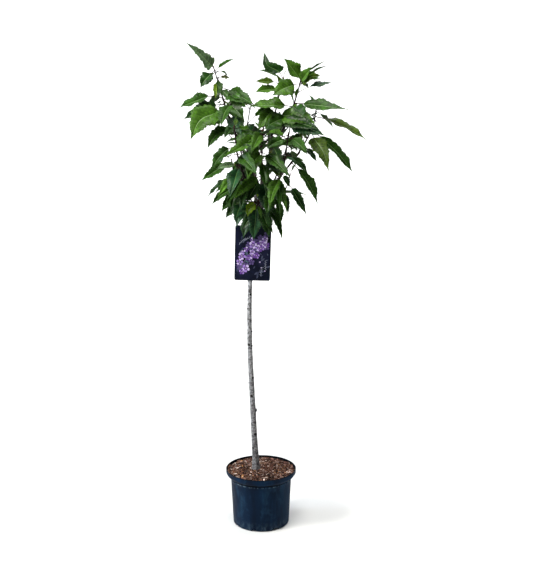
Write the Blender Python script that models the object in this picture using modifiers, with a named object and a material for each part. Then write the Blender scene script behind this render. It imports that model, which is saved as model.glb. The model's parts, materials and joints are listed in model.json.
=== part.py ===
"""A young Japanese cherry, grown as a standard tree, in its round nursery pot.

Metres, +Z up. The origin is the middle of the pot's flat underside, and the front,
which the plant label faces, is -Y. The crown is made of bare boughs, each of which
ends where a mass of foliage takes over. A mass is one stem with short twigs and with
leaves that follow a seeded rule, fused into one solid.
"""
import math
import random
from collections import namedtuple

import bmesh
import bpy
from mathutils import Matrix, Vector
from mathutils.bvhtree import BVHTree

# Clearance between neighbours, and the distance under which mesh points are one
GAP = 0.0003
WELD = 0.000001

# Pot: a turned plastic shell with a flared rim band
POT_HEIGHT = 0.198
POT_RIM_RADIUS = 0.1225
POT_LIP_HEIGHT = 0.012
POT_BAND_HEIGHT = 0.034
POT_NECK_RADIUS = 0.1055
POT_FOOT_RADIUS = 0.098
POT_BEAD = 0.0015
POT_WALL = 0.0020
POT_FLOOR = 0.0035
POT_FOOT_ROUND = 0.006
POT_CORNER = 0.019
POT_SIDES = 48
POT_ARCHES = 8
POT_ARCH_RADIUS = 0.0095
POT_ARCH_DEPTH = 0.02
POT_ARCH_OUT = 0.004
POT_ARCH_DROP = 0.003
POT_ARCH_TURN = math.radians(9)

# Growing medium: fills the pot to just under its rim
MEDIUM_TOP = 0.190

# Trunk: course, taper, root flare and the swelling where the crown was grafted on
TRUNK_BASE = MEDIUM_TOP + GAP
TRUNK_COURSE = [
    Vector((-0.017, 0.0, TRUNK_BASE)),
    Vector((-0.0275, 0.003, 0.405)),
    Vector((-0.0385, 0.001, 0.700)),
    Vector((-0.0300, -0.001, 0.965)),
    Vector((-0.0060, 0.0, 1.103)),
    Vector((0.0020, 0.0, 1.172)),
]
TRUNK_FOOT_RADIUS = 0.0107
TRUNK_TAPER = 0.0043
TRUNK_FLARE = 0.0042
TRUNK_FLARE_REACH = 0.036
GRAFT_HEIGHT = 1.150
GRAFT_SWELLING = 0.0034
GRAFT_REACH = 0.020
GRAFT_STATIONS = (1.128, 1.140, 1.152, 1.164)
GRAFT_BARE = 0.028
FLARE_STATIONS = (0.0, 0.008, 0.020)
TRUNK_STEP = 0.045

# Plant label: a plastic card on a loop round the trunk
LABEL_WIDTH = 0.121
LABEL_HEIGHT = 0.187
LABEL_THICKNESS = 0.0012
LABEL_CORNER = 0.006
LABEL_TOP = 1.056
LABEL_MIDDLE_X = -0.0235
LABEL_TILT = math.radians(1.6)
LABEL_NECK_WIDTH = 0.014
LABEL_NECK_HEIGHT = 0.021
LABEL_LOOP_HEIGHT = 0.010
LABEL_LOOP_Z = 1.068
LABEL_LOOP_SIDES = 24
LABEL_LOOP_SLACK = 0.0024
LABEL_LOOP_REST = 0.0008

# Leaves: sizes of a full-grown one, and how they sit on a shoot
GOLDEN_TURN = math.radians(137.5)
LEAF_BLADE = 0.122
LEAF_VARIATION = (0.86, 1.10)
LEAF_FIRST = 0.06
LEAF_SHRINK = 0.55
LEAF_SHRINK_FROM = 0.45
LEAF_SHRINK_POWER = 1.2
LEAF_WIDTH = 0.46
LEAF_PETIOLE = 0.027
LEAF_PETIOLE_LEAST = 0.35
LEAF_THICKNESS = 0.017
LEAF_FOLD = 0.22
PETIOLE_RADIUS = 0.0012
ROOT_SINK = 0.0008
LEAF_STATIONS = (0.22, 0.48, 0.78)
LEAF_CLEARANCE = 0.0010
ROOT_CLEARANCE = 0.007
ACCENT_BEND = math.radians(35)
LEAF_TRIES = 14
LEAF_SWING = math.radians(11)
LEAF_SCATTER = 0.15
LEAF_ROLL = 45
LEAF_BEND = (30, 65)

# Crown: a vase round the trunk that leaves of the rule keep to, and a mass's own reach
CROWN_AXIS_X = 0.012
CROWN_FLOOR = 1.005
CROWN_FOOT_HEIGHT = 1.040
CROWN_FOOT_RADIUS = 0.095
CROWN_SPREAD = 0.80
CROWN_RADIUS = 0.215
CROWN_DEPTH_SHARE = 1.22
SPACE_REACH = 0.165

# Shoots: base and tip radii of a bough with the mass that grows on from it
SHOOT_TIP_RADIUS = 0.0015
LIMB_STEP = 0.022
JOINT_ROOM = 0.006
ROOTED_SHARES = (0.4, 0.85)

# Side twigs of a mass: where they leave the stem, their size and their leaves
TWIG_FIRST = 0.18
TWIG_STEP = 0.34
TWIG_TURN = 2.1
TWIG_TRIES = 7
TWIG_SWING = math.radians(50)
TWIG_TAPER = 0.25
TWIG_LENGTH = (0.050, 0.075)
TWIG_RADIUS = 0.0016
TWIG_LEAVES = 3
TWIG_LEAF_TURN = 1.0

Accent = namedtuple("Accent", "along lean toward face blade")
Shoot = namedtuple("Shoot", ["name", "parent", "start", "guides", "bare", "radius", "leaves",
                             "turn", "hang", "rise", "twigs", "accents", "seed"])

# Each shoot leaves its parent at start, a height on the trunk or a share of a bough,
# and passes its guides. bare is the share that is bough, without leaves. The rule puts
# its leaves round the stem from turn, at the pitch hang low down and rise near the tip,
# in degrees, and adds twigs with leaves of their own. An accent is a leaf that shows in
# the outline: its place along the leafy stem, its lean in the front view (0 right, 90
# up), how far it comes toward the front, how far its upper side is turned to the front,
# and its blade's length.
SHOOTS = [
    Shoot("left", "trunk", 1.147,
          [(-0.011, -0.001, 1.205), (-0.047, -0.004, 1.283), (-0.100, 0.002, 1.405), (-0.152, 0.006, 1.574)],
          0.32, 0.0047, 9, 55, -55, -5, 2,
          [Accent(0.99, 135, 20, 60, 0.105), Accent(0.96, 237, 25, 70, 0.056),
           Accent(0.95, 28, 10, 40, 0.047), Accent(0.88, 30, -10, 40, 0.026),
           Accent(0.85, -80, 25, 60, 0.042), Accent(0.78, -27, 20, 55, 0.107),
           Accent(0.66, 190, 0, 45, 0.112), Accent(0.72, 62, -30, 40, 0.066),
           Accent(0.60, 201, 27, 60, 0.120), Accent(0.54, 221, 25, 75, 0.134),
           Accent(0.48, -54, 40, 70, 0.084),
           Accent(0.34, 220, 25, 55, 0.098), Accent(0.20, 222, -8, 60, 0.092)], 11),
    Shoot("left_inner", "left", 0.90,
          [(-0.047, 0.026, 1.345), (-0.042, 0.046, 1.395), (-0.034, 0.056, 1.440)],
          0.25, 0.0030, 5, 80, -35, 20, 0,
          [Accent(0.97, 95, -15, 60, 0.055), Accent(0.60, 40, -10, 60, 0.085)], 12),
    Shoot("leader", "trunk", 1.156,
          [(0.014, 0.002, 1.222), (0.031, 0.004, 1.300), (0.050, 0.010, 1.430), (0.077, 0.014, 1.540)],
          0.42, 0.0047, 9, 130, -45, 15, 1,
          [Accent(0.97, 125, -12, 50, 0.090), Accent(0.90, 162, 10, 55, 0.062),
           Accent(0.83, 200, 20, 50, 0.050), Accent(0.86, 100, 30, 60, 0.045)], 13),
    Shoot("centre_right", "leader", 0.86,
          [(0.083, -0.008, 1.388), (0.112, -0.012, 1.460), (0.134, -0.015, 1.538)],
          0.30, 0.0034, 6, 15, -40, 20, 0,
          [Accent(0.99, 47, 0, 15, 0.082), Accent(0.95, 122, 8, 55, 0.078),
           Accent(0.915, 32, -30, 15, 0.080), Accent(0.88, 62, 38, 60, 0.045),
           Accent(0.83, 12, 30, 60, 0.050), Accent(0.77, 18, -8, 35, 0.089),
           Accent(0.55, -3, 15, 45, 0.132), Accent(0.48, 189, 12, 35, 0.118),
           Accent(0.12, -18, 35, 75, 0.130)], 14),
    Shoot("right", "trunk", 1.139,
          [(0.045, 0.001, 1.192), (0.128, -0.004, 1.299), (0.170, -0.008, 1.378), (0.184, -0.010, 1.445)],
          0.40, 0.0042, 7, 100, -55, 0, 1,
          [Accent(0.86, -23, 5, 25, 0.155), Accent(0.94, -43, -25, 10, 0.074),
           Accent(0.67, -44, 2, 45, 0.155), Accent(0.60, -64, 28, 70, 0.124),
           Accent(0.40, -60, 20, 60, 0.052), Accent(0.53, 196, 25, 75, 0.085),
           Accent(0.98, 120, -10, 50, 0.040), Accent(0.08, -60, 12, 50, 0.132)], 15),
    Shoot("front_left", "trunk", 1.126,
          [(-0.032, -0.043, 1.178), (-0.068, -0.112, 1.280), (-0.080, -0.150, 1.385)],
          0.38, 0.0036, 13, 200, -62, -10, 1, [], 16),
    Shoot("front_right", "trunk", 1.112,
          [(0.034, -0.042, 1.165), (0.076, -0.110, 1.262), (0.090, -0.146, 1.365)],
          0.38, 0.0036, 13, 330, -64, -10, 1, [], 17),
    Shoot("front_middle", "trunk", 1.135,
          [(0.004, -0.038, 1.195), (0.006, -0.080, 1.280), (0.008, -0.100, 1.372)],
          0.36, 0.0034, 10, 270, -62, 0, 0,
          [Accent(0.92, 198, 36, 60, 0.122), Accent(0.42, -26, 42, 65, 0.100),
           Accent(0.65, -20, 42, 60, 0.122), Accent(0.98, 240, 48, 85, 0.085),
           Accent(0.06, -80, 12, 80, 0.112)], 24),
    Shoot("back_left", "trunk", 1.131,
          [(-0.034, 0.045, 1.195), (-0.072, 0.120, 1.310), (-0.092, 0.158, 1.435)],
          0.38, 0.0036, 9, 120, -55, 0, 1, [], 18),
    Shoot("back_right", "trunk", 1.119,
          [(0.036, 0.045, 1.180), (0.086, 0.122, 1.300), (0.108, 0.160, 1.430)],
          0.38, 0.0036, 9, 40, -55, 0, 1, [], 19),
    Shoot("back_middle", "trunk", 1.108,
          [(0.000, 0.048, 1.180), (0.004, 0.106, 1.280), (0.012, 0.134, 1.400)],
          0.36, 0.0034, 8, 90, -60, -5, 1, [], 25),
    Shoot("low_left", "trunk", 1.100,
          [(-0.040, -0.010, 1.136), (-0.080, -0.020, 1.196), (-0.094, -0.026, 1.275)],
          0.28, 0.0030, 5, 160, -65, -40, 0,
          [Accent(0.95, 211, 15, 60, 0.096), Accent(0.65, 214, -12, 40, 0.092),
           Accent(0.42, 219, 25, 55, 0.087), Accent(0.28, 229, 24, 70, 0.080),
           Accent(0.14, 232, 22, 65, 0.082), Accent(0.08, 246, 48, 75, 0.090)], 20),
    Shoot("low_right", "trunk", 1.094,
          [(0.042, -0.012, 1.132), (0.080, -0.024, 1.172), (0.098, -0.030, 1.225)],
          0.28, 0.0030, 5, 330, -65, -40, 0,
          [Accent(0.78, -58, 20, 65, 0.100), Accent(0.58, -70, 30, 60, 0.066),
           Accent(0.32, -60, 28, 60, 0.078)], 21),
    Shoot("collar_front", "trunk", 1.086,
          [(-0.012, -0.028, 1.108), (-0.006, -0.044, 1.142)],
          0.0, 0.0024, 7, 250, -75, -50, 0,
          [Accent(0.98, 263, 4, 80, 0.110), Accent(0.60, 236, 12, 75, 0.075)], 22),
    Shoot("collar_back", "trunk", 1.090,
          [(-0.002, 0.036, 1.122), (0.002, 0.066, 1.190)],
          0.0, 0.0024, 8, 70, -72, -45, 0, [], 23),
    Shoot("collar_right", "trunk", 1.104,
          [(0.032, 0.012, 1.132), (0.054, 0.028, 1.180)],
          0.0, 0.0024, 8, 0, -75, -50, 0, [Accent(0.50, -73, 15, 70, 0.086)], 26),
    Shoot("collar_left", "trunk", 1.112,
          [(-0.032, 0.016, 1.140), (-0.052, 0.032, 1.188)],
          0.0, 0.0024, 8, 215, -75, -45, 0, [], 27),
]


def clear_scene():
    for obj in list(bpy.data.objects):
        bpy.data.objects.remove(obj, do_unlink=True)


def new_collection(name):
    collection = bpy.data.collections.new(name)
    bpy.context.scene.collection.children.link(collection)
    return collection


def new_material(name, colour, roughness):
    material = bpy.data.materials.new(name)
    material.use_nodes = True
    shader = material.node_tree.nodes["Principled BSDF"]
    shader.inputs["Base Color"].default_value = (*colour, 1.0)
    shader.inputs["Roughness"].default_value = roughness
    shader.inputs["Metallic"].default_value = 0.0
    return material


def add_mesh(name, vertices, faces, collection, material=None):
    mesh = bpy.data.meshes.new(name)
    mesh.from_pydata([tuple(v) for v in vertices], [], faces)
    mesh.update()
    if material:
        mesh.materials.append(material)
    obj = bpy.data.objects.new(name, mesh)
    collection.objects.link(obj)
    return obj


def as_cutter(obj):
    obj.hide_render = True
    obj.display_type = "WIRE"
    return obj


def evaluated_mesh(obj):
    bpy.context.view_layer.update()
    graph = bpy.context.evaluated_depsgraph_get()
    return bpy.data.meshes.new_from_object(obj.evaluated_get(graph))


def bake(obj, material=None):
    """Swap an object's mesh for the one its modifiers make."""
    mesh = evaluated_mesh(obj)
    mesh.name = obj.name
    if material:
        mesh.materials.clear()
        mesh.materials.append(material)
    obj.modifiers.clear()
    obj.data = mesh
    return obj


def cut(obj, cutter):
    boolean = obj.modifiers.new("cut", "BOOLEAN")
    boolean.operation = "DIFFERENCE"
    boolean.solver = "EXACT"
    boolean.object = cutter
    return obj


def turned(name, profile, sides, collection, material):
    """Turn a profile of (radius, height) pairs, top to bottom on its outer side."""
    points = [(radius, 0.0, height) for radius, height in profile]
    edges = [(i, i + 1) for i in range(len(points) - 1)]
    mesh = bpy.data.meshes.new(name)
    mesh.from_pydata(points, edges, [])
    mesh.materials.append(material)
    obj = bpy.data.objects.new(name, mesh)
    collection.objects.link(obj)
    screw = obj.modifiers.new("turn", "SCREW")
    screw.steps = sides
    screw.render_steps = sides
    screw.use_merge_vertices = True
    screw.merge_threshold = 0.00001
    bake(obj, material)
    obj.data.shade_smooth()
    obj.data.set_sharp_from_angle(angle=math.radians(35))
    return obj


# Pot and growing medium

def pot_inner_profile(offset):
    """The pot's inside, floor to rim, drawn in by offset."""
    rim_inner = POT_RIM_RADIUS - POT_WALL - offset
    neck_inner = POT_NECK_RADIUS - POT_WALL - offset
    foot_inner = POT_FOOT_RADIUS - POT_WALL - offset
    floor = POT_FLOOR + offset
    return [
        (0.0, floor),
        (foot_inner - POT_CORNER, floor),
        (foot_inner, floor + POT_CORNER),
        (neck_inner, POT_HEIGHT - POT_BAND_HEIGHT),
        (rim_inner, POT_HEIGHT - POT_LIP_HEIGHT),
        (rim_inner, POT_HEIGHT),
    ]


def make_pot(parts, cutters, material):
    band_foot = POT_HEIGHT - POT_BAND_HEIGHT
    outer = [
        (POT_RIM_RADIUS, POT_HEIGHT),
        (POT_RIM_RADIUS, POT_HEIGHT - POT_LIP_HEIGHT),
        (POT_NECK_RADIUS + POT_BEAD, band_foot + POT_BEAD),
        (POT_NECK_RADIUS + POT_BEAD, band_foot - POT_BEAD),
        (POT_NECK_RADIUS, band_foot - 2 * POT_BEAD),
        (POT_FOOT_RADIUS, POT_FOOT_ROUND),
        (POT_FOOT_RADIUS - 0.3 * POT_FOOT_ROUND, 0.3 * POT_FOOT_ROUND),
        (POT_FOOT_RADIUS - POT_FOOT_ROUND, 0.0),
        (0.0, 0.0),
    ]
    pot = turned("pot", pot_inner_profile(0.0) + outer, POT_SIDES, parts, material)
    for i in range(POT_ARCHES):
        angle = 2 * math.pi * (i + 0.5) / POT_ARCHES + POT_ARCH_TURN
        bpy.ops.mesh.primitive_cylinder_add(vertices=12, radius=POT_ARCH_RADIUS, depth=POT_ARCH_DEPTH)
        arch = as_cutter(bpy.context.object)
        arch.name = f"foot_arch_{i + 1}"
        outward = Vector((math.cos(angle), math.sin(angle), 0.0))
        arch.rotation_euler = outward.to_track_quat("Z", "Y").to_euler()
        arch.location = outward * (POT_FOOT_RADIUS + POT_ARCH_OUT) - Vector((0.0, 0.0, POT_ARCH_DROP))
        for holder in list(arch.users_collection):
            holder.objects.unlink(arch)
        cutters.objects.link(arch)
        cut(pot, arch)
    return pot


def make_medium(parts, material):
    """A plug that follows the pot's inside up to its own flat top."""
    inner = pot_inner_profile(GAP)
    below = [spot for spot in inner if spot[1] < MEDIUM_TOP]
    above = inner[len(below)]
    share = (MEDIUM_TOP - below[-1][1]) / (above[1] - below[-1][1])
    top_radius = below[-1][0] + share * (above[0] - below[-1][0])
    profile = [(0.0, MEDIUM_TOP), (top_radius, MEDIUM_TOP)] + below[::-1]
    return turned("growing_medium", profile, POT_SIDES, parts, material)


# Limbs

def smooth_course(guides, step):
    """Points about a step apart on a smooth curve through the guides."""
    ends = [2 * guides[0] - guides[1]] + list(guides) + [2 * guides[-1] - guides[-2]]
    points = [guides[0].copy()]
    for i in range(1, len(ends) - 2):
        a, b, c, d = ends[i - 1:i + 3]
        count = max(1, round((c - b).length / step))
        for k in range(1, count + 1):
            t = k / count
            points.append(0.5 * (2 * b + (c - a) * t + (2 * a - 5 * b + 4 * c - d) * t * t
                                 + (3 * b - a - 3 * c + d) * t ** 3))
    return points


def lengths_along(points):
    total = [0.0]
    for a, b in zip(points, points[1:]):
        total.append(total[-1] + (b - a).length)
    return total


def point_on(points, share):
    """The point and the direction at a share of a course's length."""
    total = lengths_along(points)
    wanted = max(0.0, min(1.0, share)) * total[-1]
    for i in range(len(points) - 1):
        if wanted <= total[i + 1] or i == len(points) - 2:
            span = points[i + 1] - points[i]
            t = (wanted - total[i]) / span.length
            return points[i] + span * t, span.normalized()


def tube(name, points, radii, resolution, collection, material=None):
    """A round tube through the points, as a closed mesh."""
    curve = bpy.data.curves.new(name, "CURVE")
    curve.dimensions = "3D"
    curve.bevel_depth = 1.0
    curve.bevel_resolution = resolution
    curve.use_fill_caps = True
    spline = curve.splines.new("POLY")
    spline.points.add(len(points) - 1)
    for spot, point, radius in zip(spline.points, points, radii):
        spot.co = (*point, 1.0)
        spot.radius = radius
    guide = bpy.data.objects.new(name + "_course", curve)
    collection.objects.link(guide)
    mesh = evaluated_mesh(guide)
    mesh.name = name
    shape = bmesh.new()
    shape.from_mesh(mesh)
    bmesh.ops.remove_doubles(shape, verts=shape.verts, dist=WELD)
    bmesh.ops.recalc_face_normals(shape, faces=shape.faces)
    shape.to_mesh(mesh)
    shape.free()
    bpy.data.objects.remove(guide, do_unlink=True)
    mesh.materials.clear()
    if material:
        mesh.materials.append(material)
    mesh.shade_smooth()
    mesh.set_sharp_from_angle(angle=math.radians(50))
    obj = bpy.data.objects.new(name, mesh)
    collection.objects.link(obj)
    return obj


def trunk_radius(share, height):
    flare = TRUNK_FLARE * math.exp(-share / TRUNK_FLARE_REACH)
    swelling = GRAFT_SWELLING * math.exp(-((height - GRAFT_HEIGHT) / GRAFT_REACH) ** 2)
    return TRUNK_FOOT_RADIUS - TRUNK_TAPER * share + flare + swelling


def trunk_points():
    points = smooth_course(TRUNK_COURSE, TRUNK_STEP)
    foot = points[0]
    root_flare = [Vector((foot.x, foot.y, foot.z + rise)) for rise in FLARE_STATIONS]
    column = [p for p in points[1:-1] if abs(p.z - GRAFT_HEIGHT) > GRAFT_BARE]
    column += [trunk_axis(z) for z in GRAFT_STATIONS]
    column.sort(key=lambda p: p.z)
    return root_flare + column + [points[-1]]


def trunk_axis(height):
    """The point of the trunk's centre line at a height."""
    points = smooth_course(TRUNK_COURSE, 0.01)
    for a, b in zip(points, points[1:]):
        if height <= b.z:
            return a.lerp(b, (height - a.z) / (b.z - a.z))
    return points[-1]


def make_trunk(parts, cutters, material):
    points = trunk_points()
    base = points[0].z
    whole = points[-1].z - base
    radii = [trunk_radius((p.z - base) / whole, p.z) for p in points]
    trunk = tube("trunk", points, radii, 4, parts, material)
    clearance = tube("trunk_clearance", points, [r + GAP for r in radii], 4, cutters)
    return trunk, as_cutter(clearance)


def shoot_radius(shoot, share):
    return shoot.radius + (SHOOT_TIP_RADIUS - shoot.radius) * share ** 0.8


def rooted(points, radii):
    """Draw a limb's foot in to a blunt point, so that its cap stays inside the parent."""
    inward = (points[1] - points[0]).normalized() * radii[0]
    feet = [share * radii[0] for share in ROOTED_SHARES]
    return [points[0], points[0] + inward] + points[1:], feet + radii[1:]


def split_course(points, share):
    """Cut a course in two at a share of its length, with the clearance between."""
    total = lengths_along(points)
    at = share * total[-1]
    lower = [p for p, s in zip(points, total) if s < at - JOINT_ROOM]
    upper = [p for p, s in zip(points, total) if s > at + JOINT_ROOM]
    joint, direction = point_on(points, share)
    return lower + [joint], [joint + direction * GAP] + upper


# Leaves

Leaf = namedtuple("Leaf", "root chord arch face petiole blade width bend")


def across(vector, axis):
    """The part of a vector that is square to an axis, as a unit vector."""
    part = vector - vector.dot(axis) * axis
    return part.normalized() if part.length > 1e-6 else axis.orthogonal().normalized()


def leaf_line(leaf, run):
    """The midrib's point and direction at a run from the root: an arc under the chord."""
    whole = leaf.petiole + leaf.blade
    turn = leaf.bend * (0.5 - run / whole)
    radius = whole / leaf.bend
    forward = radius * (math.sin(leaf.bend / 2) - math.sin(turn))
    rise = radius * (math.cos(turn) - math.cos(leaf.bend / 2))
    point = leaf.root + forward * leaf.chord + rise * leaf.arch
    return point, math.cos(turn) * leaf.chord + math.sin(turn) * leaf.arch


def half_width(t):
    """Half the blade's width at t of its length, as a share of the greatest."""
    return t * (1.0 - t) ** 1.35 / 0.2013


def leaf_section(leaf, run, half, thick, fold):
    """Left edge, top of midrib, right edge and underside of midrib."""
    centre, direction = leaf_line(leaf, run)
    side = direction.cross(leaf.face).normalized()
    up = side.cross(direction).normalized()
    lift = up * (fold * half)
    return [centre - side * half + lift, centre + up * thick / 2,
            centre + side * half + lift, centre - up * thick / 2]


def leaf_solid(leaf, start=0.0, margin=0.0):
    """A closed leaf with its petiole, as vertices and faces."""
    stalk = PETIOLE_RADIUS + margin
    rings = [leaf_section(leaf, start - ROOT_SINK, stalk, 2 * stalk, 0.0),
             leaf_section(leaf, leaf.petiole, 1.4 * stalk, 2 * stalk, 0.0)]
    for t in LEAF_STATIONS:
        half = leaf.width / 2 * half_width(t) + margin
        thick = LEAF_THICKNESS * leaf.blade * (1.1 - 0.6 * t) + 2 * margin
        rings.append(leaf_section(leaf, leaf.petiole + t * leaf.blade, half, thick, LEAF_FOLD))
    tip, direction = leaf_line(leaf, leaf.petiole + leaf.blade)
    vertices = [v for ring in rings for v in ring] + [tip + direction * margin]
    faces = [(3, 2, 1, 0)]
    for r in range(len(rings) - 1):
        for k in range(4):
            a, b = 4 * r + k, 4 * r + (k + 1) % 4
            faces.append((a, b, b + 4))
            faces.append((a, b + 4, a + 4))
    last = 4 * (len(rings) - 1)
    for k in range(4):
        faces.append((last + k, last + (k + 1) % 4, len(vertices) - 1))
    return vertices, faces


def leaf_from(root, chord, face, blade, bend):
    """A leaf along a chord that arches half upward and half to its upper side."""
    up = across(Vector((0.0, 0.0, 1.0)), chord)
    arch = (up + face).normalized()
    petiole = LEAF_PETIOLE * (LEAF_PETIOLE_LEAST + (1.0 - LEAF_PETIOLE_LEAST) * blade / LEAF_BLADE)
    return Leaf(root, chord, arch, face, petiole, blade, blade * LEAF_WIDTH, bend)


def accent_leaf(accent, stem):
    root, _ = point_on(stem, accent.along)
    lean, toward, turn = (math.radians(a) for a in (accent.lean, accent.toward, accent.face))
    flat = math.cos(toward)
    chord = Vector((math.cos(lean) * flat, -math.sin(toward), math.sin(lean) * flat))
    up = across(Vector((0.0, 0.0, 1.0)), chord)
    front = across(Vector((0.0, -1.0, 0.0)), chord)
    face = across(up * math.cos(turn) + front * math.sin(turn), chord)
    return leaf_from(root, chord, face, accent.blade, ACCENT_BEND)


def rule_leaf(stem, along, azimuth, pitch, roll, blade, bend):
    root, _ = point_on(stem, along)
    flat = math.cos(pitch)
    chord = Vector((math.cos(azimuth) * flat, math.sin(azimuth) * flat, math.sin(pitch)))
    up = across(Vector((0.0, 0.0, 1.0)), chord)
    face = Matrix.Rotation(roll, 3, chord) @ up
    return leaf_from(root, chord, face, blade, bend)


def bounds(vertices):
    low = [min(v[i] for v in vertices) for i in range(3)]
    high = [max(v[i] for v in vertices) for i in range(3)]
    return low, high


class Space:
    """What is already placed in the crown, for keeping new leaves clear of it."""

    def __init__(self):
        self.held = []

    def add(self, owner, vertices, faces):
        self.held.append((owner, *bounds(vertices), BVHTree.FromPolygons(vertices, faces)))

    def is_free(self, vertices, faces, owner=None):
        """Whether a shape touches nothing, apart from what has the same owner."""
        low, high = bounds(vertices)
        tree = BVHTree.FromPolygons(vertices, faces)
        for other_owner, other_low, other_high, other in self.held:
            if owner is not None and other_owner == owner:
                continue
            apart = any(low[i] > other_high[i] or high[i] < other_low[i] for i in range(3))
            if not apart and tree.overlap(other):
                return False
        return True


def mesh_polygons(obj):
    return [v.co.copy() for v in obj.data.vertices], [tuple(p.vertices) for p in obj.data.polygons]


def inside_crown(point):
    """Whether a point lies in the crown's vase, which opens upward."""
    radius = CROWN_FOOT_RADIUS + CROWN_SPREAD * (point.z - CROWN_FOOT_HEIGHT)
    away = math.hypot(point.x - CROWN_AXIS_X, point.y / CROWN_DEPTH_SHARE)
    return away < min(radius, CROWN_RADIUS)


def fits(leaf, owner, stem, space, free_form=False):
    """Whether a leaf keeps to its mass's space and touches nothing."""
    shell, faces = leaf_solid(leaf, ROOT_CLEARANCE, LEAF_CLEARANCE)
    tip = shell[-1]
    if min(v.z for v in shell) < CROWN_FLOOR:
        return False
    if not free_form:
        if min((tip - p).length for p in stem) > SPACE_REACH or not inside_crown(tip):
            return False
    whole = leaf_solid(leaf, 0.0, LEAF_CLEARANCE)
    return space.is_free(shell, faces) and space.is_free(*whole, owner)


def place_rule_leaves(shoot, stem, space, draw, count, turn):
    """Leaves round a stem: each next one a golden turn on, longest half way up."""
    leaves = []
    for i in range(count):
        along = LEAF_FIRST + (1.0 - LEAF_FIRST) * (i + 0.6) / count
        shrink = LEAF_SHRINK * max(0.0, along - LEAF_SHRINK_FROM) ** LEAF_SHRINK_POWER
        blade = LEAF_BLADE * (1.0 - shrink) * draw.uniform(*LEAF_VARIATION)
        for attempt in range(LEAF_TRIES):
            swing = LEAF_SWING * attempt
            azimuth = turn + i * GOLDEN_TURN + draw.uniform(-1, 1) * (LEAF_SCATTER + swing)
            pitch = math.radians(shoot.hang + (shoot.rise - shoot.hang) * along)
            pitch += draw.uniform(-1, 1) * (LEAF_SCATTER + 0.5 * swing)
            roll = math.radians(draw.uniform(-LEAF_ROLL, LEAF_ROLL))
            bend = math.radians(draw.uniform(*LEAF_BEND))
            leaf = rule_leaf(stem, along, azimuth, pitch, roll, blade, bend)
            if fits(leaf, shoot.name, stem, space):
                space.add(shoot.name, *leaf_solid(leaf))
                leaves.append(leaf)
                break
    return leaves


def twig_course(stem, along, azimuth, length):
    """A short side twig that leaves the stem at a slant and turns up half way."""
    root, direction = point_on(stem, along)
    outward = Vector((math.cos(azimuth), math.sin(azimuth), 0.0))
    middle = root + (outward * 0.8 + direction * 0.6).normalized() * length * 0.5
    tip = middle + (outward * 0.4 + Vector((0.0, 0.0, 0.9))).normalized() * length * 0.5
    return smooth_course([root, middle, tip], LIMB_STEP)


def thin_tube(points, radius, margin=0.0):
    """A square tube that tapers a little, as vertices and faces."""
    vertices = []
    for k, point in enumerate(points):
        ahead = points[min(k + 1, len(points) - 1)] - points[max(k - 1, 0)]
        side = across(Vector((0.31, 0.95, 0.0)), ahead.normalized())
        up = ahead.normalized().cross(side)
        size = radius * (1.0 - TWIG_TAPER * k / len(points)) + margin
        vertices += [point + side * size, point + up * size, point - side * size, point - up * size]
    last = 4 * (len(points) - 1)
    faces = [(3, 2, 1, 0), (last, last + 1, last + 2, last + 3)]
    for r in range(len(points) - 1):
        for k in range(4):
            a, b = 4 * r + k, 4 * r + (k + 1) % 4
            faces.append((a, b, b + 4, a + 4))
    return vertices, faces


def place_twig(shoot, stem, index, space, draw):
    """Try a twig at turns round its stem until it has room."""
    along = TWIG_FIRST + TWIG_STEP * index
    length = draw.uniform(*TWIG_LENGTH)
    first = math.radians(shoot.turn) + TWIG_TURN + index * GOLDEN_TURN
    for attempt in range(TWIG_TRIES):
        twig = twig_course(stem, along, first + attempt * TWIG_SWING, length)
        clear = space.is_free(*thin_tube(twig[1:], TWIG_RADIUS, LEAF_CLEARANCE))
        if clear and space.is_free(*thin_tube(twig, TWIG_RADIUS, LEAF_CLEARANCE), shoot.name):
            space.add(shoot.name, *thin_tube(twig, TWIG_RADIUS))
            return twig
    return None


def join_mass(name, stem_object, pieces, parts, material):
    """Fuse a stem with its twigs and leaves into one solid."""
    gather = new_collection(name + "_pieces")
    for vertices, faces in pieces:
        add_mesh(name + "_piece", vertices, faces, gather)
    boolean = stem_object.modifiers.new("join", "BOOLEAN")
    boolean.operation = "UNION"
    boolean.solver = "EXACT"
    boolean.operand_type = "COLLECTION"
    boolean.collection = gather
    bake(stem_object, material)
    for obj in list(gather.objects):
        bpy.data.objects.remove(obj, do_unlink=True)
    bpy.data.collections.remove(gather)
    keep_largest(stem_object.data)
    return stem_object


def keep_largest(mesh):
    """Drop loose scraps and the walls of sealed hollows."""
    shape = bmesh.new()
    shape.from_mesh(mesh)
    bmesh.ops.triangulate(shape, faces=shape.faces)
    bmesh.ops.remove_doubles(shape, verts=shape.verts, dist=2 * WELD)
    bmesh.ops.dissolve_degenerate(shape, edges=shape.edges, dist=2 * WELD)
    bmesh.ops.triangulate(shape, faces=shape.faces)
    unseen = set(shape.verts)
    islands = []
    while unseen:
        front = [unseen.pop()]
        island = set(front)
        while front:
            for edge in front.pop().link_edges:
                for vertex in edge.verts:
                    if vertex in unseen:
                        unseen.discard(vertex)
                        island.add(vertex)
                        front.append(vertex)
        islands.append(island)
    islands.sort(key=len)
    for island in islands[:-1]:
        bmesh.ops.delete(shape, geom=list(island), context="VERTS")
    shape.to_mesh(mesh)
    shape.free()


def clear_of(limb, clearances):
    """Cut a limb by each clearance that it meets, and keep the part outside."""
    tree = BVHTree.FromPolygons(*mesh_polygons(limb))
    for clearance in clearances:
        if tree.overlap(BVHTree.FromPolygons(*mesh_polygons(clearance))):
            cut(limb, clearance)
    bake(limb)
    keep_largest(limb.data)
    return limb


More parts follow.
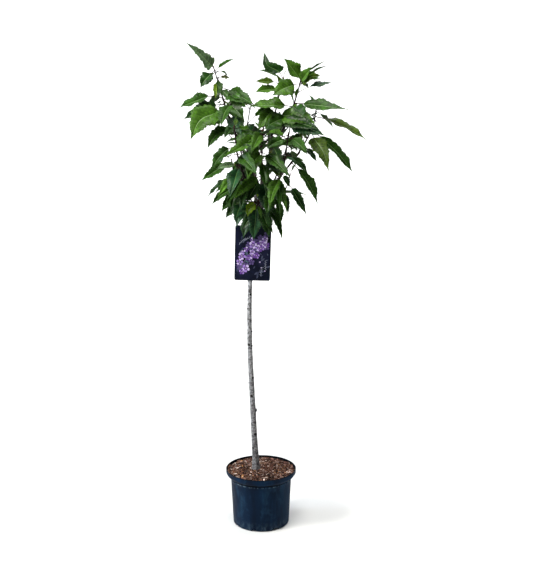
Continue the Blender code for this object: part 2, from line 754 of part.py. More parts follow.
def shoot_course(shoot, boughs):
    """The whole course of a shoot, bough and leafy stem together."""
    if shoot.parent == "trunk":
        start = trunk_axis(shoot.start)
    else:
        start, _ = point_on(boughs[shoot.parent], shoot.start)
    return smooth_course([start] + [Vector(g) for g in shoot.guides], LIMB_STEP)


def make_crown(parts, cutters, trunk, trunk_clearance, label, wood, foliage):
    space = Space()
    space.add("trunk", *mesh_polygons(trunk))
    space.add("label", *mesh_polygons(label))
    boughs = {}
    stems = {}
    clearances = {"trunk": trunk_clearance}
    for shoot in SHOOTS:
        course = shoot_course(shoot, boughs)
        if shoot.bare:
            lower, upper = split_course(course, shoot.bare)
            total = lengths_along(course)[-1]
            shares = [s / total for s in lengths_along(lower)]
            radii = [shoot_radius(shoot, s) for s in shares]
            name = "bough_" + shoot.name
            bough = tube(name, *rooted(lower, radii), 2, parts, wood)
            clear_of(bough, clearances.values())
            boughs[shoot.name] = lower
            clearance = tube(name + "_clearance", lower, [r + GAP for r in radii], 2, cutters)
            clearances[shoot.name] = as_cutter(clearance)
            space.add(name, *mesh_polygons(bough))
        else:
            upper = course
        stems[shoot.name] = upper

    stem_objects = {}
    for shoot in SHOOTS:
        stem = stems[shoot.name]
        share = shoot.bare
        shares = [share + (1 - share) * s / lengths_along(stem)[-1] for s in lengths_along(stem)]
        radii = [shoot_radius(shoot, s) for s in shares]
        if shoot.bare:
            obj = tube("foliage_" + shoot.name, stem, radii, 1, parts, foliage)
        else:
            obj = tube("foliage_" + shoot.name, *rooted(stem, radii), 1, parts, foliage)
            clear_of(obj, clearances.values())
        stem_objects[shoot.name] = obj
        space.add(shoot.name, *mesh_polygons(obj))

    placed = {}
    for shoot in SHOOTS:
        placed[shoot.name] = []
        for accent in shoot.accents:
            leaf = accent_leaf(accent, stems[shoot.name])
            if fits(leaf, shoot.name, stems[shoot.name], space, free_form=True):
                space.add(shoot.name, *leaf_solid(leaf))
                placed[shoot.name].append(leaf)

    for shoot in SHOOTS:
        draw = random.Random(shoot.seed)
        stem = stems[shoot.name]
        pieces = []
        for index in range(shoot.twigs):
            twig = place_twig(shoot, stem, index, space, draw)
            if twig:
                pieces.append(thin_tube(twig, TWIG_RADIUS))
                first = math.radians(shoot.turn) + TWIG_LEAF_TURN
                placed[shoot.name] += place_rule_leaves(shoot, twig, space, draw, TWIG_LEAVES, first)
        turn = math.radians(shoot.turn)
        placed[shoot.name] += place_rule_leaves(shoot, stem, space, draw, shoot.leaves, turn)
        pieces += [leaf_solid(leaf) for leaf in placed[shoot.name]]
        join_mass("foliage_" + shoot.name, stem_objects[shoot.name], pieces, parts, foliage)


# Plant label

def label_outline(neck_x):
    """The card's outline with its neck, anticlockwise in the card's own plane."""
    half = LABEL_WIDTH / 2
    corner = LABEL_CORNER
    neck = LABEL_NECK_WIDTH / 2
    centres = [(half - corner, -LABEL_HEIGHT + corner, -90), (half - corner, -corner, 0),
               (-half + corner, -corner, 90), (-half + corner, -LABEL_HEIGHT + corner, 180)]
    points = []
    for number, (centre_x, centre_z, first) in enumerate(centres):
        for k in range(5):
            angle = math.radians(first + 22.5 * k)
            points.append((centre_x + corner * math.cos(angle), centre_z + corner * math.sin(angle)))
        if number == 1:
            points += [(neck_x + neck, 0.0), (neck_x + neck, LABEL_NECK_HEIGHT),
                       (neck_x - neck, LABEL_NECK_HEIGHT), (neck_x - neck, 0.0)]
    return points


def make_label(parts, cutters, material):
    middle = trunk_axis(LABEL_LOOP_Z + LABEL_LOOP_HEIGHT / 2)
    share = (middle.z - TRUNK_BASE) / (TRUNK_COURSE[-1].z - TRUNK_BASE)
    inner = trunk_radius(share, middle.z) + LABEL_LOOP_SLACK
    outer = inner + LABEL_THICKNESS
    loop_y = middle.y - LABEL_LOOP_SLACK + LABEL_LOOP_REST
    card_y = loop_y - inner - LABEL_THICKNESS / 2

    outline = label_outline(middle.x - LABEL_MIDDLE_X)
    curve = bpy.data.curves.new("plant_label", "CURVE")
    curve.dimensions = "2D"
    curve.fill_mode = "BOTH"
    curve.extrude = LABEL_THICKNESS / 2
    spline = curve.splines.new("POLY")
    spline.use_cyclic_u = True
    spline.points.add(len(outline) - 1)
    for spot, (x, z) in zip(spline.points, outline):
        spot.co = (x, z, 0.0, 1.0)
    card_curve = bpy.data.objects.new("card_course", curve)
    parts.objects.link(card_curve)
    mesh = evaluated_mesh(card_curve)
    bpy.data.objects.remove(card_curve, do_unlink=True)
    shape = bmesh.new()
    shape.from_mesh(mesh)
    bmesh.ops.remove_doubles(shape, verts=shape.verts, dist=WELD)
    bmesh.ops.recalc_face_normals(shape, faces=shape.faces)
    stand = Matrix.Rotation(math.radians(90), 4, "X")
    lean = Matrix.Rotation(LABEL_TILT, 4, "Y")
    place = Matrix.Translation((LABEL_MIDDLE_X, card_y, LABEL_TOP))
    bmesh.ops.transform(shape, matrix=place @ lean @ stand, verts=shape.verts)
    shape.to_mesh(mesh)
    shape.free()
    mesh.name = "plant_label"
    mesh.materials.clear()
    mesh.materials.append(material)
    card = bpy.data.objects.new("plant_label", mesh)
    parts.objects.link(card)

    low, high = LABEL_LOOP_Z, LABEL_LOOP_Z + LABEL_LOOP_HEIGHT
    profile = [(inner, low), (inner, high), (outer, high), (outer, low), (inner, low)]
    loop = turned("label_loop", profile, LABEL_LOOP_SIDES, cutters, material)
    loop.location = (middle.x, loop_y, 0.0)
    as_cutter(loop)
    boolean = card.modifiers.new("join", "BOOLEAN")
    boolean.operation = "UNION"
    boolean.solver = "EXACT"
    boolean.object = loop
    return bake(card, material)


def main():
    clear_scene()
    parts = new_collection("potted_japanese_cherry")
    cutters = new_collection("cutters")
    plastic = new_material("pot_plastic", (0.012, 0.022, 0.036), 0.38)
    bark_mulch = new_material("bark_mulch", (0.17, 0.095, 0.060), 0.95)
    wood = new_material("bark", (0.40, 0.36, 0.33), 0.75)
    foliage = new_material("foliage", (0.055, 0.130, 0.030), 0.45)
    card = new_material("label_card", (0.020, 0.018, 0.045), 0.35)
    make_pot(parts, cutters, plastic)
    make_medium(parts, bark_mulch)
    trunk, trunk_clearance = make_trunk(parts, cutters, wood)
    label = make_label(parts, cutters, card)
    make_crown(parts, cutters, trunk, trunk_clearance, label, wood, foliage)


main()
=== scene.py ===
"""The looks of a young Japanese cherry in its nursery pot, built round its frame.

Metres, +Z up, the front is -Y. The crown grows by the same seeded rule as the frame's
solids, carried on to finer twigs, and each leaf is a thin closed blade with its own
outline, veins and underside. The bark, the pot, the mulch and the plant label are
modelled meshes that stand for the frame's nodes.
"""

import json
import random
from bisect import bisect_left
from collections import namedtuple
from math import copysign, cos, exp, hypot, pi, radians, sin, sqrt

import bmesh
import bpy
import numpy as np
from mathutils import Matrix, Vector, noise
from mathutils.bvhtree import BVHTree

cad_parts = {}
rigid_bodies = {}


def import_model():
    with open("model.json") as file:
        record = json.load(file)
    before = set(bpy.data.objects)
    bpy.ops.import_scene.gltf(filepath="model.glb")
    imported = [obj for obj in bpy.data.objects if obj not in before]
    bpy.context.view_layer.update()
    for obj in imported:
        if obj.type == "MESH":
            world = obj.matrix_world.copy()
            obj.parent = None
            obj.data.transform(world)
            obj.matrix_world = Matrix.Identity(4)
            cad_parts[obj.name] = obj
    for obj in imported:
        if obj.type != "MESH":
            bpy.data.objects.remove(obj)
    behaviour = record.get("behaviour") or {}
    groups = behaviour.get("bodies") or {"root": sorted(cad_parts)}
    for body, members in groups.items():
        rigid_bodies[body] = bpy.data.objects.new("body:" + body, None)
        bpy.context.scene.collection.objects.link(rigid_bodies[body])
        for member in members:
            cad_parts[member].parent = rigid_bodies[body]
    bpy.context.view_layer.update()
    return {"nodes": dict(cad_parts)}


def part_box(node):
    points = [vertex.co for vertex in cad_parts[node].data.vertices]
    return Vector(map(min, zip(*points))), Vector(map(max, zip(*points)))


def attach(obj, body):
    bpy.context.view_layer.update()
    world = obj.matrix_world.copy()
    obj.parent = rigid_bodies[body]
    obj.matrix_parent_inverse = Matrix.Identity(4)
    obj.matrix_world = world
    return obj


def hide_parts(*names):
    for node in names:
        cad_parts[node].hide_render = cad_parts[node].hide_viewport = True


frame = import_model()

# The photograph's frame and the camera that was solved from it
PHOTO_HEIGHT = 574
CAMERA_FOCAL = 1001.604
CAMERA_PLACE = (0.042, -3.33243, 1.5)
CAMERA_PITCH = 0.194196
SENSOR = 36.0

# Sizes that the frame gives
POT_LOW, POT_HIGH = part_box("pot")
MEDIUM_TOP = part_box("growing_medium")[1].z
TRUNK_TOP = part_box("trunk")[1].z

UP = Vector((0.0, 0.0, 1.0))
FRONT = Vector((0.0, -1.0, 0.0))
ASIDE = Vector((0.31, 0.95, 0.0))

# Growth, as in the source
GAP = 0.0003
TRUNK_BASE = MEDIUM_TOP + GAP
TRUNK_COURSE = [
    Vector((-0.017, 0.0, TRUNK_BASE)),
    Vector((-0.0275, 0.003, 0.405)),
    Vector((-0.0385, 0.001, 0.7)),
    Vector((-0.03, -0.001, 0.965)),
    Vector((-0.006, 0.0, 1.103)),
    Vector((0.002, 0.0, 1.172)),
]
TRUNK_FOOT_RADIUS = 0.0107
TRUNK_TAPER = 0.0043
TRUNK_FLARE = 0.0042
TRUNK_FLARE_REACH = 0.036
GRAFT_HEIGHT = 1.15
GRAFT_SWELLING = 0.0034
GRAFT_REACH = 0.02

GOLDEN_TURN = radians(137.5)
LEAF_BLADE = 0.122
LEAF_VARIATION = (0.86, 1.1)
LEAF_FIRST = 0.06
LEAF_SHRINK = 0.55
LEAF_SHRINK_FROM = 0.45
LEAF_SHRINK_POWER = 1.2
LEAF_WIDTH = 0.46
LEAF_PETIOLE = 0.027
LEAF_PETIOLE_LEAST = 0.35
LEAF_THICKNESS = 0.017
LEAF_FOLD = 0.22
PETIOLE_RADIUS = 0.0012
ROOT_SINK = 0.0008
LEAF_STATIONS = (0.22, 0.48, 0.78)
LEAF_CLEARANCE = 0.001
ROOT_CLEARANCE = 0.007
ACCENT_BEND = radians(35)
LEAF_TRIES = 14
LEAF_SWING = radians(11)
LEAF_SCATTER = 0.15
LEAF_ROLL = 45
LEAF_BEND = (30, 65)

CROWN_AXIS_X = 0.012
CROWN_FLOOR = 1.005
CROWN_FOOT_HEIGHT = 1.04
CROWN_FOOT_RADIUS = 0.095
CROWN_SPREAD = 0.8
CROWN_RADIUS = 0.215
CROWN_DEPTH_SHARE = 1.22
SPACE_REACH = 0.165

SHOOT_TIP_RADIUS = 0.0015
LIMB_STEP = 0.022
JOINT_ROOM = 0.006
ROOTED_SHARES = (0.4, 0.85)

TWIG_FIRST = 0.18
TWIG_STEP = 0.34
TWIG_TURN = 2.1
TWIG_TRIES = 7
TWIG_SWING = radians(50)
TWIG_TAPER = 0.25
TWIG_LENGTH = (0.05, 0.075)
TWIG_RADIUS = 0.0016
TWIG_LEAVES = 3
TWIG_LEAF_TURN = 1.0

# Seeds of the looks; the first two are added to each shoot's own
FINER_SEEDS = 100
BLADE_SEEDS = 200
TRUNK_SEED = 5
POT_SEED = 31
CHIP_SEED = 77
PRINT_SEED = 9

# Finer growth that only the looks have: small leaves at the tips and on short spurs
TIP_LEAVES = 4
TIP_BLADE = (0.018, 0.042)
TIP_FIRST = 0.995
TIP_STEP = 0.012
TIP_PITCH = (35, 75)
TIP_ROLL = 0.6
TIP_BEND = (20, 50)
TIP_TONES = ("young", "bright", "olive")
SPUR_STEP = 0.034
SPUR_LENGTH = (0.006, 0.014)
SPUR_RADIUS = 0.0013
SPUR_BLADE = (0.045, 0.09)
SPUR_LEAVES = 2
SPUR_TRIES = 5
SPUR_SCATTER = 0.9
SPUR_TURN = 1.8
SPUR_PITCH = (-65, 15)
SPUR_ROLL = 0.7
SPUR_BEND = (25, 60)
SPUR_SHRINK = 0.85

# Leaf colours (linear), named by what they look like. They are partly the leaves' own greens and partly
# painted light and shade: lighter tones go to leaves that look lit and darker ones to leaves that look
# shaded
TONES = {
    "deep": (0.0095, 0.037, 0.0038),
    "mid": (0.02, 0.062, 0.0055),
    # Partly the leaves' own blue-green, partly a painted sky sheen
    "blue": (0.012, 0.05, 0.016),
    "bright": (0.04, 0.102, 0.0085),
    "olive": (0.048, 0.086, 0.008),
    # A young yellow-green, made lighter as painted light
    "lime": (0.125, 0.21, 0.007),
    # A greyed light green that stands for a painted sheen
    "pale": (0.076, 0.13, 0.058),
    "young": (0.05, 0.056, 0.012),
    # A lighter green that stands for painted light on leaves in the shaded crown
    "fresh": (0.065, 0.16, 0.014),
}
TONE_NAMES = list(TONES)
VEIN_COLOUR = (0.1, 0.185, 0.046)
UNDERSIDE_COLOUR = (0.056, 0.1, 0.033)
UNDERSIDE_VEIN_COLOUR = (0.1, 0.145, 0.05)
LEAF_MATERIALS = TONE_NAMES + ["vein", "underside", "underside_vein"]
# How often the rule deals out each tone in the sunny upper and the shaded lower crown
UPPER_DEAL = {"deep": 5, "mid": 7, "blue": 3, "bright": 4, "olive": 1}
LOWER_DEAL = {"deep": 4, "mid": 6, "blue": 4, "bright": 4, "fresh": 2}
# Where the shaded crown ends, and the share of their width that rule leaves have below it
SHADED_BELOW = 1.25
LOWER_SLIM = 0.74

# An outline leaf: the source's first five values, then its tone and how it departs from the
# plain leaf: fold and bend in degrees, shares of the width and length, turns in degrees in the
# picture and away from the front, where it is widest, how far it curls to its left, and its stalk
Accent = namedtuple("Accent", "along lean toward face blade tone fold broad long swing away peak "
                              "curl bend stalk", defaults=(None, 1.0, 1.0, 0, 0, None, 0.0, None, 1.0))
Shoot = namedtuple("Shoot", ["name", "parent", "start", "guides", "bare", "radius", "leaves",
                             "turn", "hang", "rise", "twigs", "accents", "seed"])

# The source's shoots, each outline leaf with its tone and how it departs from the source's
SHOOTS = [
    Shoot("left", "trunk", 1.147,
          [(-0.011, -0.001, 1.205), (-0.047, -0.004, 1.283), (-0.1, 0.002, 1.405), (-0.152, 0.006, 1.574)],
          0.32, 0.0047, 9, 55, -55, -5, 2,
          [Accent(0.99, 135, 20, 60, 0.105, "pale", fold=12, broad=0.88, long=1.2, swing=3.5, peak=0.3,
                  bend=15, stalk=0.25),
           Accent(0.96, 237, 25, 70, 0.056, "deep", fold=16, broad=1.55, long=1.1, swing=-6, peak=0.6),
           Accent(0.95, 28, 10, 40, 0.047, "mid", fold=50, broad=0.8, long=1.35, swing=3),
           Accent(0.88, 30, -10, 40, 0.03, "young", fold=24, broad=1.4, swing=-30),
           Accent(0.85, -84, 25, 60, 0.042, "lime", fold=24, broad=0.95, long=1.3, swing=-12, stalk=0.5),
           Accent(0.78, -27, 20, 55, 0.107, "mid", fold=20, long=0.93, stalk=1.7),
           Accent(0.66, 190, 0, 45, 0.112, "mid", fold=26, broad=0.95, long=0.98, swing=3, bend=66,
                  curl=-0.06, stalk=1.9),
           Accent(0.72, 62, -30, 40, 0.066, "mid", fold=34, broad=0.9, swing=-64, stalk=1.9),
           Accent(0.6, 201, 27, 60, 0.12, "deep", fold=24, long=1.06, away=36),
           Accent(0.54, 221, 25, 75, 0.134, "bright", fold=14, broad=1.3, long=1.06, swing=-1,
                  peak=0.62, bend=58, curl=0.11),
           Accent(0.48, -54, 40, 70, 0.084, "blue", fold=20, broad=1.2),
           Accent(0.34, 220, 25, 55, 0.098, "mid", fold=34, long=1.04, bend=76),
           Accent(0.13, 222, -8, 60, 0.092, "mid", fold=26, long=1.1, swing=-1, bend=86, stalk=1.7)], 11),
    Shoot("left_inner", "left", 0.9,
          [(-0.047, 0.026, 1.345), (-0.042, 0.046, 1.395), (-0.034, 0.056, 1.44)],
          0.25, 0.003, 5, 80, -35, 20, 0,
          [Accent(0.97, 95, -15, 60, 0.055, "mid", swing=62),
           Accent(0.6, 40, -10, 60, 0.085, "mid", fold=40, broad=0.66, long=0.92, swing=-4,
                  stalk=1.8)], 12),
    Shoot("leader", "trunk", 1.156,
          [(0.014, 0.002, 1.222), (0.031, 0.004, 1.3), (0.05, 0.01, 1.43), (0.077, 0.014, 1.54)],
          0.42, 0.0047, 9, 130, -45, 15, 1,
          [Accent(0.97, 125, -12, 50, 0.09, "deep", fold=14, broad=1.28, long=1.02, swing=2, peak=0.42,
                  curl=-0.26, stalk=1.1),
           Accent(0.9, 162, 10, 55, 0.062, "olive", fold=30, broad=0.95, swing=12, stalk=1.6),
           Accent(0.83, 200, 20, 50, 0.05, "bright", fold=30, broad=1.2, long=1.5, swing=-12),
           Accent(0.92, 222, 8, 50, 0.05, "mid", fold=24, broad=1.3, long=0.9),
           Accent(0.86, 100, 30, 60, 0.045, "olive", fold=20, broad=1.2, long=0.7, swing=14)], 13),
    Shoot("centre_right", "leader", 0.86,
          [(0.083, -0.008, 1.388), (0.112, -0.012, 1.46), (0.134, -0.015, 1.538)],
          0.3, 0.0034, 6, 15, -40, 20, 0,
          [Accent(0.99, 47, 0, 15, 0.082, "deep", fold=68, broad=0.45, long=0.8, swing=-12, stalk=1.9),
           Accent(0.95, 122, 8, 55, 0.078, "bright", fold=16, broad=1.45, long=1.06, swing=6, stalk=0.5),
           Accent(0.915, 32, -30, 15, 0.08, "deep", fold=68, broad=0.42, long=1.02, swing=-1, stalk=2.2),
           Accent(0.88, 62, 38, 60, 0.045, "bright", fold=26, broad=1.3, long=1.4, swing=-8),
           Accent(0.83, 12, 30, 60, 0.05, "olive", fold=26, broad=1.2, long=1.2, swing=26),
           Accent(0.735, 18, -8, 35, 0.089, "blue", fold=20, broad=0.84, long=0.86, swing=-2,
                  peak=0.85, stalk=2.2),
           Accent(0.55, -3, 15, 45, 0.132, "mid", fold=16, broad=0.78, long=1.14, swing=-3.5, bend=12),
           Accent(0.48, 189, 12, 35, 0.118, "bright", fold=20, broad=1.15, long=1.05, swing=-9, bend=34),
           Accent(0.12, -18, 35, 75, 0.13, "blue", fold=20, broad=0.84, long=1.04, swing=6)], 14),
    Shoot("right", "trunk", 1.139,
          [(0.045, 0.001, 1.192), (0.128, -0.004, 1.299), (0.17, -0.008, 1.378), (0.184, -0.01, 1.445)],
          0.4, 0.0042, 7, 100, -55, 0, 1,
          [Accent(0.86, -23, 5, 25, 0.155, "olive", fold=22, broad=0.62, long=1.02, swing=-1.5,
                  bend=30, curl=-0.02),
           Accent(0.94, -43, -25, 10, 0.074, "deep", fold=50, broad=0.8),
           Accent(0.645, -44, 2, 45, 0.155, "mid", fold=24, broad=0.62, long=1.07, swing=-1, peak=0.84,
                  bend=32, curl=-0.015),
           Accent(0.62, -64, 28, 70, 0.124, "olive", fold=14, broad=0.9, long=1.07, swing=-1,
                  peak=0.42, curl=-0.04),
           Accent(0.4, -60, 20, 60, 0.06, "deep", fold=24, broad=0.8, swing=8),
           Accent(0.53, 196, 25, 75, 0.085, "mid"),
           Accent(0.98, 120, -10, 50, 0.04, "mid", broad=0.7),
           Accent(0.08, -60, 12, 50, 0.132, "mid", fold=28, broad=0.68, long=1.06, swing=2, peak=0.84,
                  bend=42, curl=-0.03)], 15),
    Shoot("front_left", "trunk", 1.126,
          [(-0.032, -0.043, 1.178), (-0.068, -0.112, 1.28), (-0.08, -0.15, 1.385)],
          0.38, 0.0036, 13, 200, -62, -10, 1, [], 16),
    Shoot("front_right", "trunk", 1.112,
          [(0.034, -0.042, 1.165), (0.076, -0.11, 1.262), (0.09, -0.146, 1.365)],
          0.38, 0.0036, 13, 330, -64, -10, 1, [], 17),
    Shoot("front_middle", "trunk", 1.135,
          [(0.004, -0.038, 1.195), (0.006, -0.08, 1.28), (0.008, -0.1, 1.372)],
          0.36, 0.0034, 10, 270, -62, 0, 0,
          [Accent(0.92, 198, 36, 60, 0.122, "bright", fold=26, broad=0.76, long=1.12, swing=11, away=6,
                  curl=-0.05),
           Accent(0.42, -26, 42, 65, 0.1, "deep", fold=36, long=1.04),
           Accent(0.58, -20, 42, 60, 0.122, "mid", fold=30, broad=0.74, long=1.08, swing=-19),
           Accent(0.98, 240, 62, 85, 0.122, "bright", broad=0.75),
           Accent(0.06, -80, 12, 80, 0.112, "blue", fold=16, broad=1.15)], 24),
    Shoot("back_left", "trunk", 1.131,
          [(-0.034, 0.045, 1.195), (-0.072, 0.12, 1.31), (-0.092, 0.158, 1.435)],
          0.38, 0.0036, 9, 120, -55, 0, 1, [], 18),
    Shoot("back_right", "trunk", 1.119,
          [(0.036, 0.045, 1.18), (0.086, 0.122, 1.3), (0.108, 0.16, 1.43)],
          0.38, 0.0036, 9, 40, -55, 0, 1, [], 19),
    Shoot("back_middle", "trunk", 1.108,
          [(0.0, 0.048, 1.18), (0.004, 0.106, 1.28), (0.012, 0.134, 1.4)],
          0.36, 0.0034, 8, 90, -60, -5, 1, [], 25),
    Shoot("low_left", "trunk", 1.1,
          [(-0.04, -0.01, 1.136), (-0.08, -0.02, 1.196), (-0.094, -0.026, 1.275)],
          0.28, 0.003, 5, 160, -65, -40, 0,
          [Accent(0.95, 211, 15, 60, 0.096, "mid", fold=30, broad=0.9, long=1.04, curl=-0.02),
           Accent(0.65, 214, -12, 40, 0.092, "deep", fold=40, broad=0.72, long=1.08, swing=6, bend=24),
           Accent(0.42, 219, 25, 55, 0.087, "mid", fold=32, broad=0.84, long=1.05, swing=-2, bend=26),
           Accent(0.28, 229, 24, 70, 0.08, "mid", fold=24),
           Accent(0.14, 232, 22, 65, 0.082, "deep", fold=24),
           Accent(0.08, 246, 48, 75, 0.09, "blue", fold=14, broad=1.2)], 20),
    Shoot("low_right", "trunk", 1.094,
          [(0.042, -0.012, 1.132), (0.08, -0.024, 1.172), (0.098, -0.03, 1.225)],
          0.28, 0.003, 5, 330, -65, -40, 0,
          [Accent(0.78, -58, 20, 65, 0.1, "deep", fold=32, broad=0.74, long=1.05, swing=-1),
           Accent(0.58, -70, 30, 60, 0.066, "deep", fold=40, broad=0.8, swing=-10),
           Accent(0.32, -60, 28, 60, 0.078, "mid", fold=32, broad=0.8, swing=-26)], 21),
    Shoot("collar_front", "trunk", 1.086,
          [(-0.012, -0.028, 1.108), (-0.006, -0.044, 1.142)],
          0.0, 0.0024, 7, 250, -75, -50, 0,
          [Accent(0.98, 263, 4, 80, 0.11, "blue", fold=20), Accent(0.6, 236, 12, 75, 0.075, "deep",
                  fold=20)], 22),
    Shoot("collar_back", "trunk", 1.09,
          [(-0.002, 0.036, 1.122), (0.002, 0.066, 1.19)],
          0.0, 0.0024, 8, 70, -72, -45, 0, [], 23),
    Shoot("collar_right", "trunk", 1.104,
          [(0.032, 0.012, 1.132), (0.054, 0.028, 1.18)],
          0.0, 0.0024, 8, 0, -75, -50, 0, [Accent(0.5, -73, 15, 70, 0.086, "mid", fold=40, broad=0.8)],
                                                  26),
    Shoot("collar_left", "trunk", 1.112,
          [(-0.032, 0.016, 1.14), (-0.052, 0.032, 1.188)],
          0.0, 0.0024, 8, 215, -75, -45, 0, [], 27),
]

# Leaves that show at the front of the crown, within the outline, by shoot
FRONT_LEAVES = {
    "centre_right": [
        Accent(0.9, 203, 20, 75, 0.084, "bright", fold=8, broad=1.6, peak=0.6),
        Accent(0.6, 72, 4, 60, 0.034, "bright"),
        Accent(0.97, 10, 26, 60, 0.056, "olive", fold=26, broad=1.2),
        Accent(0.97, 50, 30, 60, 0.046, "bright", fold=30, broad=1.1),
        Accent(0.93, 34, 34, 65, 0.052, "bright", fold=30, broad=1.2),
        Accent(0.3, 205, 25, 75, 0.08, "mid", fold=14, broad=1.25),
    ],
    "leader": [
        Accent(0.44, -10, 34, 66, 0.138, "bright", fold=12, broad=1.05, peak=0.6),
        Accent(0.31, -5, 36, 66, 0.156, "deep", fold=18, broad=0.66, peak=0.8, bend=44),
        Accent(0.58, 232, 28, 75, 0.092, "bright", fold=12, broad=1.25),
        Accent(0.46, 250, 40, 75, 0.075, "bright", fold=16, broad=1.15),
        Accent(0.03, -58, 38, 72, 0.08, "deep", fold=20, broad=1.1),
    ],
    "left": [
        Accent(0.64, -42, 30, 72, 0.088, "mid", fold=12, broad=1.45),
        Accent(0.72, -24, 32, 70, 0.082, "mid", fold=16, broad=1.1),
        Accent(0.78, -54, 30, 60, 0.044, "mid", fold=20, broad=1.3),
    ],
    "front_right": [
        Accent(0.97, -44, 22, 60, 0.074, "mid", fold=22, broad=1.1),
        Accent(0.93, 206, 24, 65, 0.066, "mid", fold=18, broad=1.2),
        Accent(0.1, -72, 22, 75, 0.086, "deep", fold=30, broad=0.66),
        Accent(0.1, 252, 20, 75, 0.1, "mid", fold=20),
        Accent(0.24, 268, 34, 72, 0.1, "mid", fold=30, broad=0.66),
        Accent(0.65, -42, 10, 50, 0.078, "deep", fold=20, broad=0.85),
        Accent(0.16, -75, 34, 70, 0.1, "bright", fold=34, broad=0.6),
        Accent(0.02, -82, 30, 72, 0.1, "mid", fold=30, broad=0.64),
        Accent(0.3, -62, 20, 60, 0.044, "deep", fold=26, broad=1.1),
    ],
    "low_right": [
        Accent(0.12, -76, 18, 60, 0.108, "mid", fold=50, broad=0.55),
    ],
    "front_middle": [
        Accent(0.72, 236, 14, 75, 0.08, "mid", fold=16, broad=1.25),
        Accent(0.08, 217, 48, 70, 0.14, "fresh", fold=20, broad=0.6),
        Accent(0.02, -40, 30, 60, 0.096, "deep", fold=34),
        Accent(0.45, 278, 20, 70, 0.078, "mid", fold=24),
        Accent(0.0, 214, 8, 65, 0.105, "blue", fold=34),
        Accent(0.14, 300, 46, 75, 0.104, "mid", fold=30, broad=0.66),
        Accent(0.02, 238, 30, 75, 0.086, "deep", fold=20),
    ],
    "collar_front": [
        Accent(0.98, 235, 15, 75, 0.054, "lime", fold=16, broad=1.35, bend=100),
        Accent(0.98, 78, 24, 60, 0.03, "lime", fold=16, broad=1.2),
        Accent(0.66, 302, 18, 75, 0.086, "mid", fold=30, broad=0.75),
        Accent(0.9, 288, 12, 75, 0.1, "deep", fold=20),
        Accent(0.7, 246, -2, 75, 0.096, "deep", fold=20),
    ],
    "front_left": [
        Accent(0.32, 188, 10, 60, 0.062, "pale", fold=24, broad=0.9),
        Accent(0.2, 226, 34, 66, 0.11, "fresh", fold=30, broad=0.62),
        Accent(0.12, 212, 16, 60, 0.094, "mid", fold=34, broad=0.62),
        Accent(0.06, 236, 30, 66, 0.104, "mid", fold=34, broad=0.62),
        Accent(0.02, 262, 34, 72, 0.1, "deep", fold=26, broad=0.75),
        Accent(0.12, 250, 18, 72, 0.104, "deep", fold=20, broad=1.1),
    ],
    "low_left": [
        Accent(0.02, 250, 20, 78, 0.082, "blue", fold=14, broad=1.25),
    ],
    "collar_right": [
        Accent(0.3, -50, 38, 70, 0.066, "mid", fold=22),
    ],
}

# Places where the sky shows through the crown from the front: x, z and radius
SKY_GAPS = [
    (-0.011, 1.435, 0.02), (-0.054, 1.415, 0.012), (-0.031, 1.399, 0.012), (0.039, 1.441, 0.009),
    (0.082, 1.454, 0.024), (0.115, 1.52, 0.013), (0.095, 1.549, 0.01), (0.197, 1.418, 0.015),
    (0.164, 1.435, 0.009), (0.111, 1.366, 0.01), (0.082, 1.311, 0.012), (0.016, 1.298, 0.009),
    (-0.087, 1.278, 0.014), (0.016, 1.262, 0.008), (0.154, 1.304, 0.018), (0.115, 1.226, 0.012),
    (-0.037, 1.512, 0.026), (-0.113, 1.533, 0.015), (-0.145, 1.292, 0.01), (0.2, 1.375, 0.012),
    (0.187, 1.502, 0.016), (-0.044, 1.425, 0.014), (0.151, 1.49, 0.016), (0.121, 1.467, 0.01),
    (-0.182, 1.36, 0.008), (-0.149, 1.373, 0.01), (-0.116, 1.383, 0.006), (-0.097, 1.311, 0.012),
    (0.205, 1.402, 0.012), (0.092, 1.362, 0.008), (0.128, 1.205, 0.012), (-0.169, 1.493, 0.01),
    (-0.133, 1.334, 0.012), (-0.139, 1.316, 0.006), (-0.014, 1.477, 0.01), (0.164, 1.256, 0.012),
    (0.151, 1.233, 0.008), (0.095, 1.471, 0.008), (0.039, 1.22, 0.01), (-0.004, 1.203, 0.008),
    (0.085, 1.203, 0.01), (0.115, 1.189, 0.01), (-0.113, 1.236, 0.009), (-0.13, 1.233, 0.008),
    (-0.189, 1.562, 0.006), (0.042, 1.063, 0.008), (0.019, 1.381, 0.008), (-0.123, 1.568, 0.008),
    (-0.143, 1.595, 0.008), (-0.161, 1.572, 0.006), (0.171, 1.317, 0.008), (-0.176, 1.513, 0.007),
    (0.078, 1.089, 0.008), (0.118, 1.132, 0.008),
]
GAP_RAYS = 6
GAP_RINGS = (0.8, 0.42)


# Camera, light and backdrop

def linked(name, data):
    """A new object in the scene."""
    obj = bpy.data.objects.new(name, data)
    bpy.context.scene.collection.objects.link(obj)
    return obj


def make_camera():
    data = bpy.data.cameras.new("camera")
    data.sensor_width = SENSOR
    data.lens = SENSOR * CAMERA_FOCAL / PHOTO_HEIGHT
    camera = linked("camera", data)
    camera.location = CAMERA_PLACE
    camera.rotation_euler = (pi / 2 - CAMERA_PITCH, 0.0, 0.0)
    bpy.context.scene.camera = camera
    bpy.context.scene.view_settings.view_transform = "Standard"


def area_light(name, place, target, size, power, colour=(1.0, 1.0, 1.0), spread=180):
    data = bpy.data.lights.new(name, "AREA")
    data.shape = "RECTANGLE"
    data.size, data.size_y = size
    data.energy = power
    data.color = colour
    data.spread = radians(spread)
    light = linked(name, data)
    light.location = place
    light.visible_camera = False
    aim = Vector(target) - Vector(place)
    light.rotation_euler = aim.to_track_quat("-Z", "Y").to_euler()


